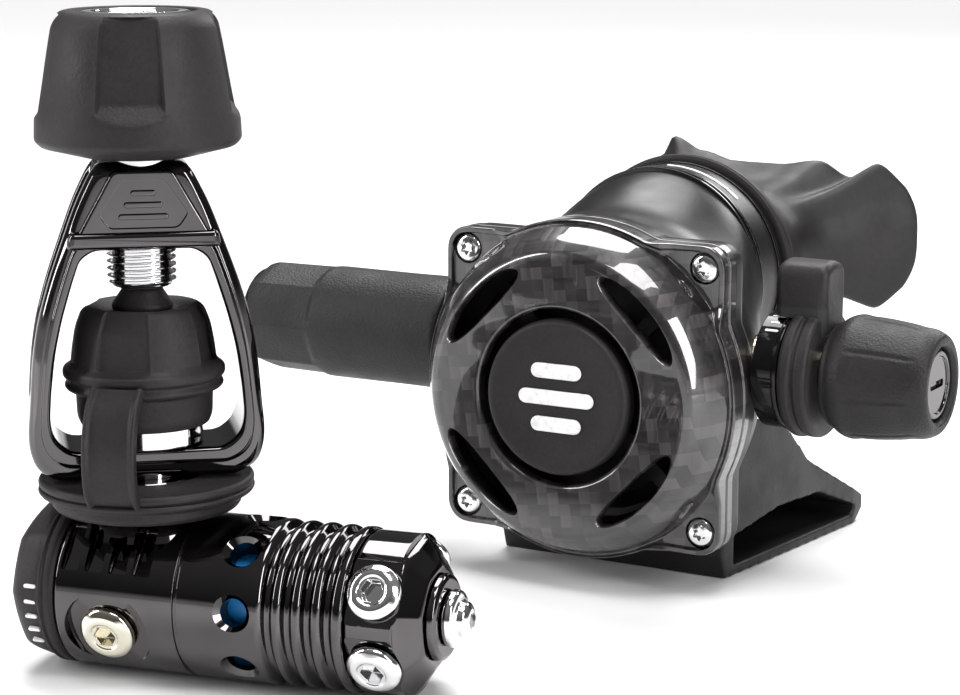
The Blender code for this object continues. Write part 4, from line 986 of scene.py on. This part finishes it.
def make_sleeve():
    """Sleeve over the inlet nut: eight flats on its outer half, a soft step and a lip."""
    profile = [(8.0, SLEEVE_START), (11.4, SLEEVE_START, 0.8), (13.6, SLEEVE_START + 1.2, 1.2),
               (14.9, SLEEVE_START + 4.5, 1.5), (15.1, -88.0, 1.0), (15.2, -84.0, 1.0), (15.1, -62.0, 1.0),
               (15.2, SLEEVE_END - 1.0, 0.6), (14.6, SLEEVE_END, 0.4), (13.6, SLEEVE_END),
               (13.6, NUT_END - 0.4), (11.6, NUT_END - 2.4), (11.6, -84.0), (8.0, -88.0)]

    def share(radius, w):
        if radius < 13.0:
            return 0.0
        return 0.85 * clamped((-86.0 - w) / 1.6)
    sleeve = turned("fine_hose_sleeve", profile, VALVE, "X", segments=192, loop=True,
                    shape=facet(8, math.radians(22.5), share))
    polish(sleeve, "grained_rubber", "hose_swivel", "hose_sleeve", slot="dark_rubber", sharp=40.0)


SCALLOP = ((-1.0, 0.7), (-0.68, 0.72), (-0.58, 1.0), (-0.5, 1.26), (-0.3, 1.06), (-0.08, 0.94), (0.2, 0.94),
           (0.44, 1.03), (0.615, 0.86), (0.79, 1.19), (0.92, 1.1), (1.0, 1.0))


def scalloped(t):
    """Height of the lip shield's edge against a plain oval, at a share t of its half width."""
    for (t0, m0), (t1, m1) in zip(SCALLOP, SCALLOP[1:]):
        if t <= t1:
            share = (t - t0) / (t1 - t0)
            return m0 + (m1 - m0) * share * share * (3.0 - 2.0 * share)
    return 1.0


def shield_ring(wide, high, z, y, scallop, sweep, count=200):
    """Closed section of the mouthpiece: an oval, drawn out to horns by scallop and swept back by sweep."""
    ring = []
    for k in range(count):
        a = math.tau * k / count
        c, s = math.cos(a), math.sin(a)
        power = 1.0 - 0.38 * scallop
        u = wide * math.copysign(abs(c) ** power, c)
        v = high * math.copysign(abs(s) ** power, s)
        v *= 1.0 + scallop * (scalloped(u / wide) - 1.0)
        ring.append((u, y + sweep * (u / wide) ** 2, z + v))
    return ring


def make_mouthpiece():
    """Silicone mouthpiece: ridged neck, horned lip shield and a bite piece, hollow."""
    outer = smooth_rows([(30.9, 30.9, 22.0, 58.9, 0.0, 0.0), (31.2, 31.0, 22.0, 60.4, 0.0, 0.0),
                         (30.2, 29.2, 22.4, 63.0, 0.0, 0.0), (27.8, 23.8, 24.0, 69.0, 0.0, 0.0),
                         (27.0, 18.8, 25.4, 76.0, 0.05, 0.3), (29.6, 16.2, 26.6, 83.0, 0.25, 1.2),
                         (38.5, 17.0, 27.4, 91.0, 0.7, 4.4), (47.4, 20.0, 28.0, 98.0, 1.0, 7.4),
                         (48.0, 20.4, 28.0, 99.6, 1.0, 7.8)], 5)
    back = smooth_rows([(47.4, 19.9, 28.0, 100.8, 1.0, 7.8), (42.0, 16.0, 28.0, 102.2, 0.8, 6.0),
                        (30.0, 11.4, 28.0, 103.4, 0.4, 2.6), (24.6, 9.6, 28.0, 106.0, 0.2, 0.6),
                        (24.4, 9.4, 28.0, 110.6, 0.2, 0.0), (23.6, 8.6, 28.0, 112.0, 0.2, 0.0)], 3)
    tunnel = ((21.0, 6.8, 28.0, 112.0), (20.2, 6.2, 28.0, 110.8), (20.0, 7.5, 27.0, 97.0),
              (20.0, 10.0, 26.0, 82.0), (21.0, 14.0, 25.0, 73.0), (25.5, 24.0, 23.0, 64.0),
              (27.0, 27.0, 22.0, 58.9))
    bore = smooth_rows([(*row, 0.0, 0.0) for row in tunnel], 3)
    rings = [shield_ring(*row) for row in outer + back + bore]
    piece = loft("fine_mouthpiece", rings, STAGE, True)
    polish(piece, "soft_silicone", "second_stage", "mouthpiece", sharp=60.0)


def make_clamp():
    profile = [(26.0, 56.3), (30.6, 56.3, 0.3), (31.5, 56.7, 0.3), (31.5, 57.2, 0.2), (31.1, 57.4, 0.15),
               (31.6, 57.7, 0.2), (31.6, 58.2, 0.3), (31.0, 58.6, 0.2), (26.0, 58.6)]
    polish(turned("fine_clamp", profile, STAGE, "Y", (MOUTH_Z, 0.0), 128, True), "dark_rubber",
           "second_stage", "mouthpiece_clamp")


def make_tee():
    """Exhaust tee: the frame's own solid, remeshed finely so that its moulded edges are soft."""
    source = frame["nodes"]["exhaust_tee"]
    tee = bpy.data.objects.new("fine_exhaust_tee", source.data.copy())
    bpy.context.scene.collection.objects.link(tee)
    tee.matrix_world = source.matrix_world
    remesh = tee.modifiers.new("remesh", "REMESH")
    remesh.mode = "VOXEL"
    remesh.voxel_size = 0.55 * MM
    smooth = tee.modifiers.new("smooth", "SMOOTH")
    smooth.factor = 0.5
    smooth.iterations = 5
    bake(tee)
    polish(tee, "soft_silicone", "second_stage", "exhaust_tee", sharp=80.0)


def dress_kept_nodes():
    """Procedural materials for the inner pieces, which keep the frame's own shapes."""
    slots = {row["node"]: row["material_slot"] for row in frame["record"]["subparts"]}
    for name, node in frame["nodes"].items():
        if node.hide_render:
            continue
        node.data.materials.clear()
        node.data.materials.append(M[slots[name]])


# ---------------------------------------------------------------- room

# The fitted camera: its place in metres, its angles in degrees, its lens in millimetres.
CAMERA_AT, CAMERA_DOWN, CAMERA_LEFT = (0.3089, -0.5592, 0.1861), 11.01, 29.8
SENSOR_WIDTH, LENS = 36.0, 97.5
SUN_POWER, SUN_SPREAD = 3.1, 35.0


def make_floor():
    mesh = bpy.data.meshes.new("floor")
    bm = bmesh.new()
    bmesh.ops.create_circle(bm, cap_ends=True, segments=96, radius=14.0)
    bm.to_mesh(mesh)
    bm.free()
    floor = bpy.data.objects.new("floor", mesh)
    floor.location.z = -0.0002
    bpy.context.scene.collection.objects.link(floor)
    s = Shader("pale_floor", 0.6)
    s.feed(s.ramp(s.noise(0.8, 2.0), (0.3, 0.84), (0.7, 0.86)), "Base Color")
    mesh.materials.append(s.mat)


def area_light(name, at, target_z, width, height, power):
    """Rectangular light aimed at a height above the middle of the floor."""
    light = bpy.data.lights.new(name, "AREA")
    light.shape = "RECTANGLE"
    light.size = width
    light.size_y = height
    light.energy = power
    obj = bpy.data.objects.new(name, light)
    obj.location = at
    obj.rotation_euler = (Vector((0.0, 0.0, target_z)) - Vector(at)).to_track_quat("-Z", "Y").to_euler()
    bpy.context.scene.collection.objects.link(obj)


def make_world():
    world = bpy.data.worlds.new("studio")
    world.use_nodes = True
    nodes, links = world.node_tree.nodes, world.node_tree.links
    place = nodes.new("ShaderNodeTexCoord")
    split = nodes.new("ShaderNodeSeparateXYZ")
    ramp = nodes.new("ShaderNodeValToRGB")
    links.new(place.outputs["Generated"], split.inputs[0])
    links.new(split.outputs["Z"], ramp.inputs["Fac"])
    links.new(ramp.outputs["Color"], nodes["Background"].inputs["Color"])
    for element, (at, level) in zip(ramp.color_ramp.elements, ((0.02, 0.9), (0.10, 0.07))):
        element.position = at
        element.color = (level, level, level, 1.0)
    last = ramp.color_ramp.elements.new(0.75)
    last.color = (0.22, 0.22, 0.22, 1.0)
    bpy.context.scene.world = world


def make_camera():
    data = bpy.data.cameras.new("camera")
    data.sensor_width = SENSOR_WIDTH
    data.lens = LENS
    data.clip_start = 0.01
    camera = bpy.data.objects.new("camera", data)
    camera.location = CAMERA_AT
    camera.rotation_euler = (math.radians(90.0 - CAMERA_DOWN), 0.0, math.radians(CAMERA_LEFT))
    bpy.context.scene.collection.objects.link(camera)
    bpy.context.scene.camera = camera


def make_room():
    """Floor, world, one broad even light and four smaller ones for the highlights."""
    make_floor()
    make_world()
    sun = bpy.data.lights.new("even_light", "SUN")
    sun.energy = SUN_POWER
    sun.angle = math.radians(SUN_SPREAD)
    even = bpy.data.objects.new("even_light", sun)
    even.rotation_euler = (math.radians(-24.0), math.radians(-16.0), 0.0)
    bpy.context.scene.collection.objects.link(even)
    area_light("top_softbox", (0.25, -0.15, 1.0), 0.05, 0.5, 0.35, 7.0)
    area_light("left_strip", (-0.9, -0.7, 0.6), 0.08, 0.16, 0.9, 9.0)
    area_light("right_strip", (1.1, -0.3, 0.5), 0.08, 0.18, 0.9, 9.0)
    area_light("back_softbox", (0.2, 1.4, 0.9), 0.08, 0.9, 0.4, 10.0)
    bpy.context.scene.view_settings.view_transform = "Standard"


def build():
    make_camera()
    make_yoke_knob()
    make_yoke_screw()
    make_yoke()
    make_retainer()
    make_dust_cap()
    make_tether()
    make_main_body()
    make_end_cap()
    make_plugs()
    make_turret()
    make_bush()
    make_cover()
    make_cover_screws()
    make_purge()
    make_case()
    make_collar()
    make_shoulder()
    make_venturi_lever()
    make_adjust_knob()
    make_sleeve()
    make_mouthpiece()
    make_clamp()
    make_tee()
    dress_kept_nodes()
    make_room()


build()
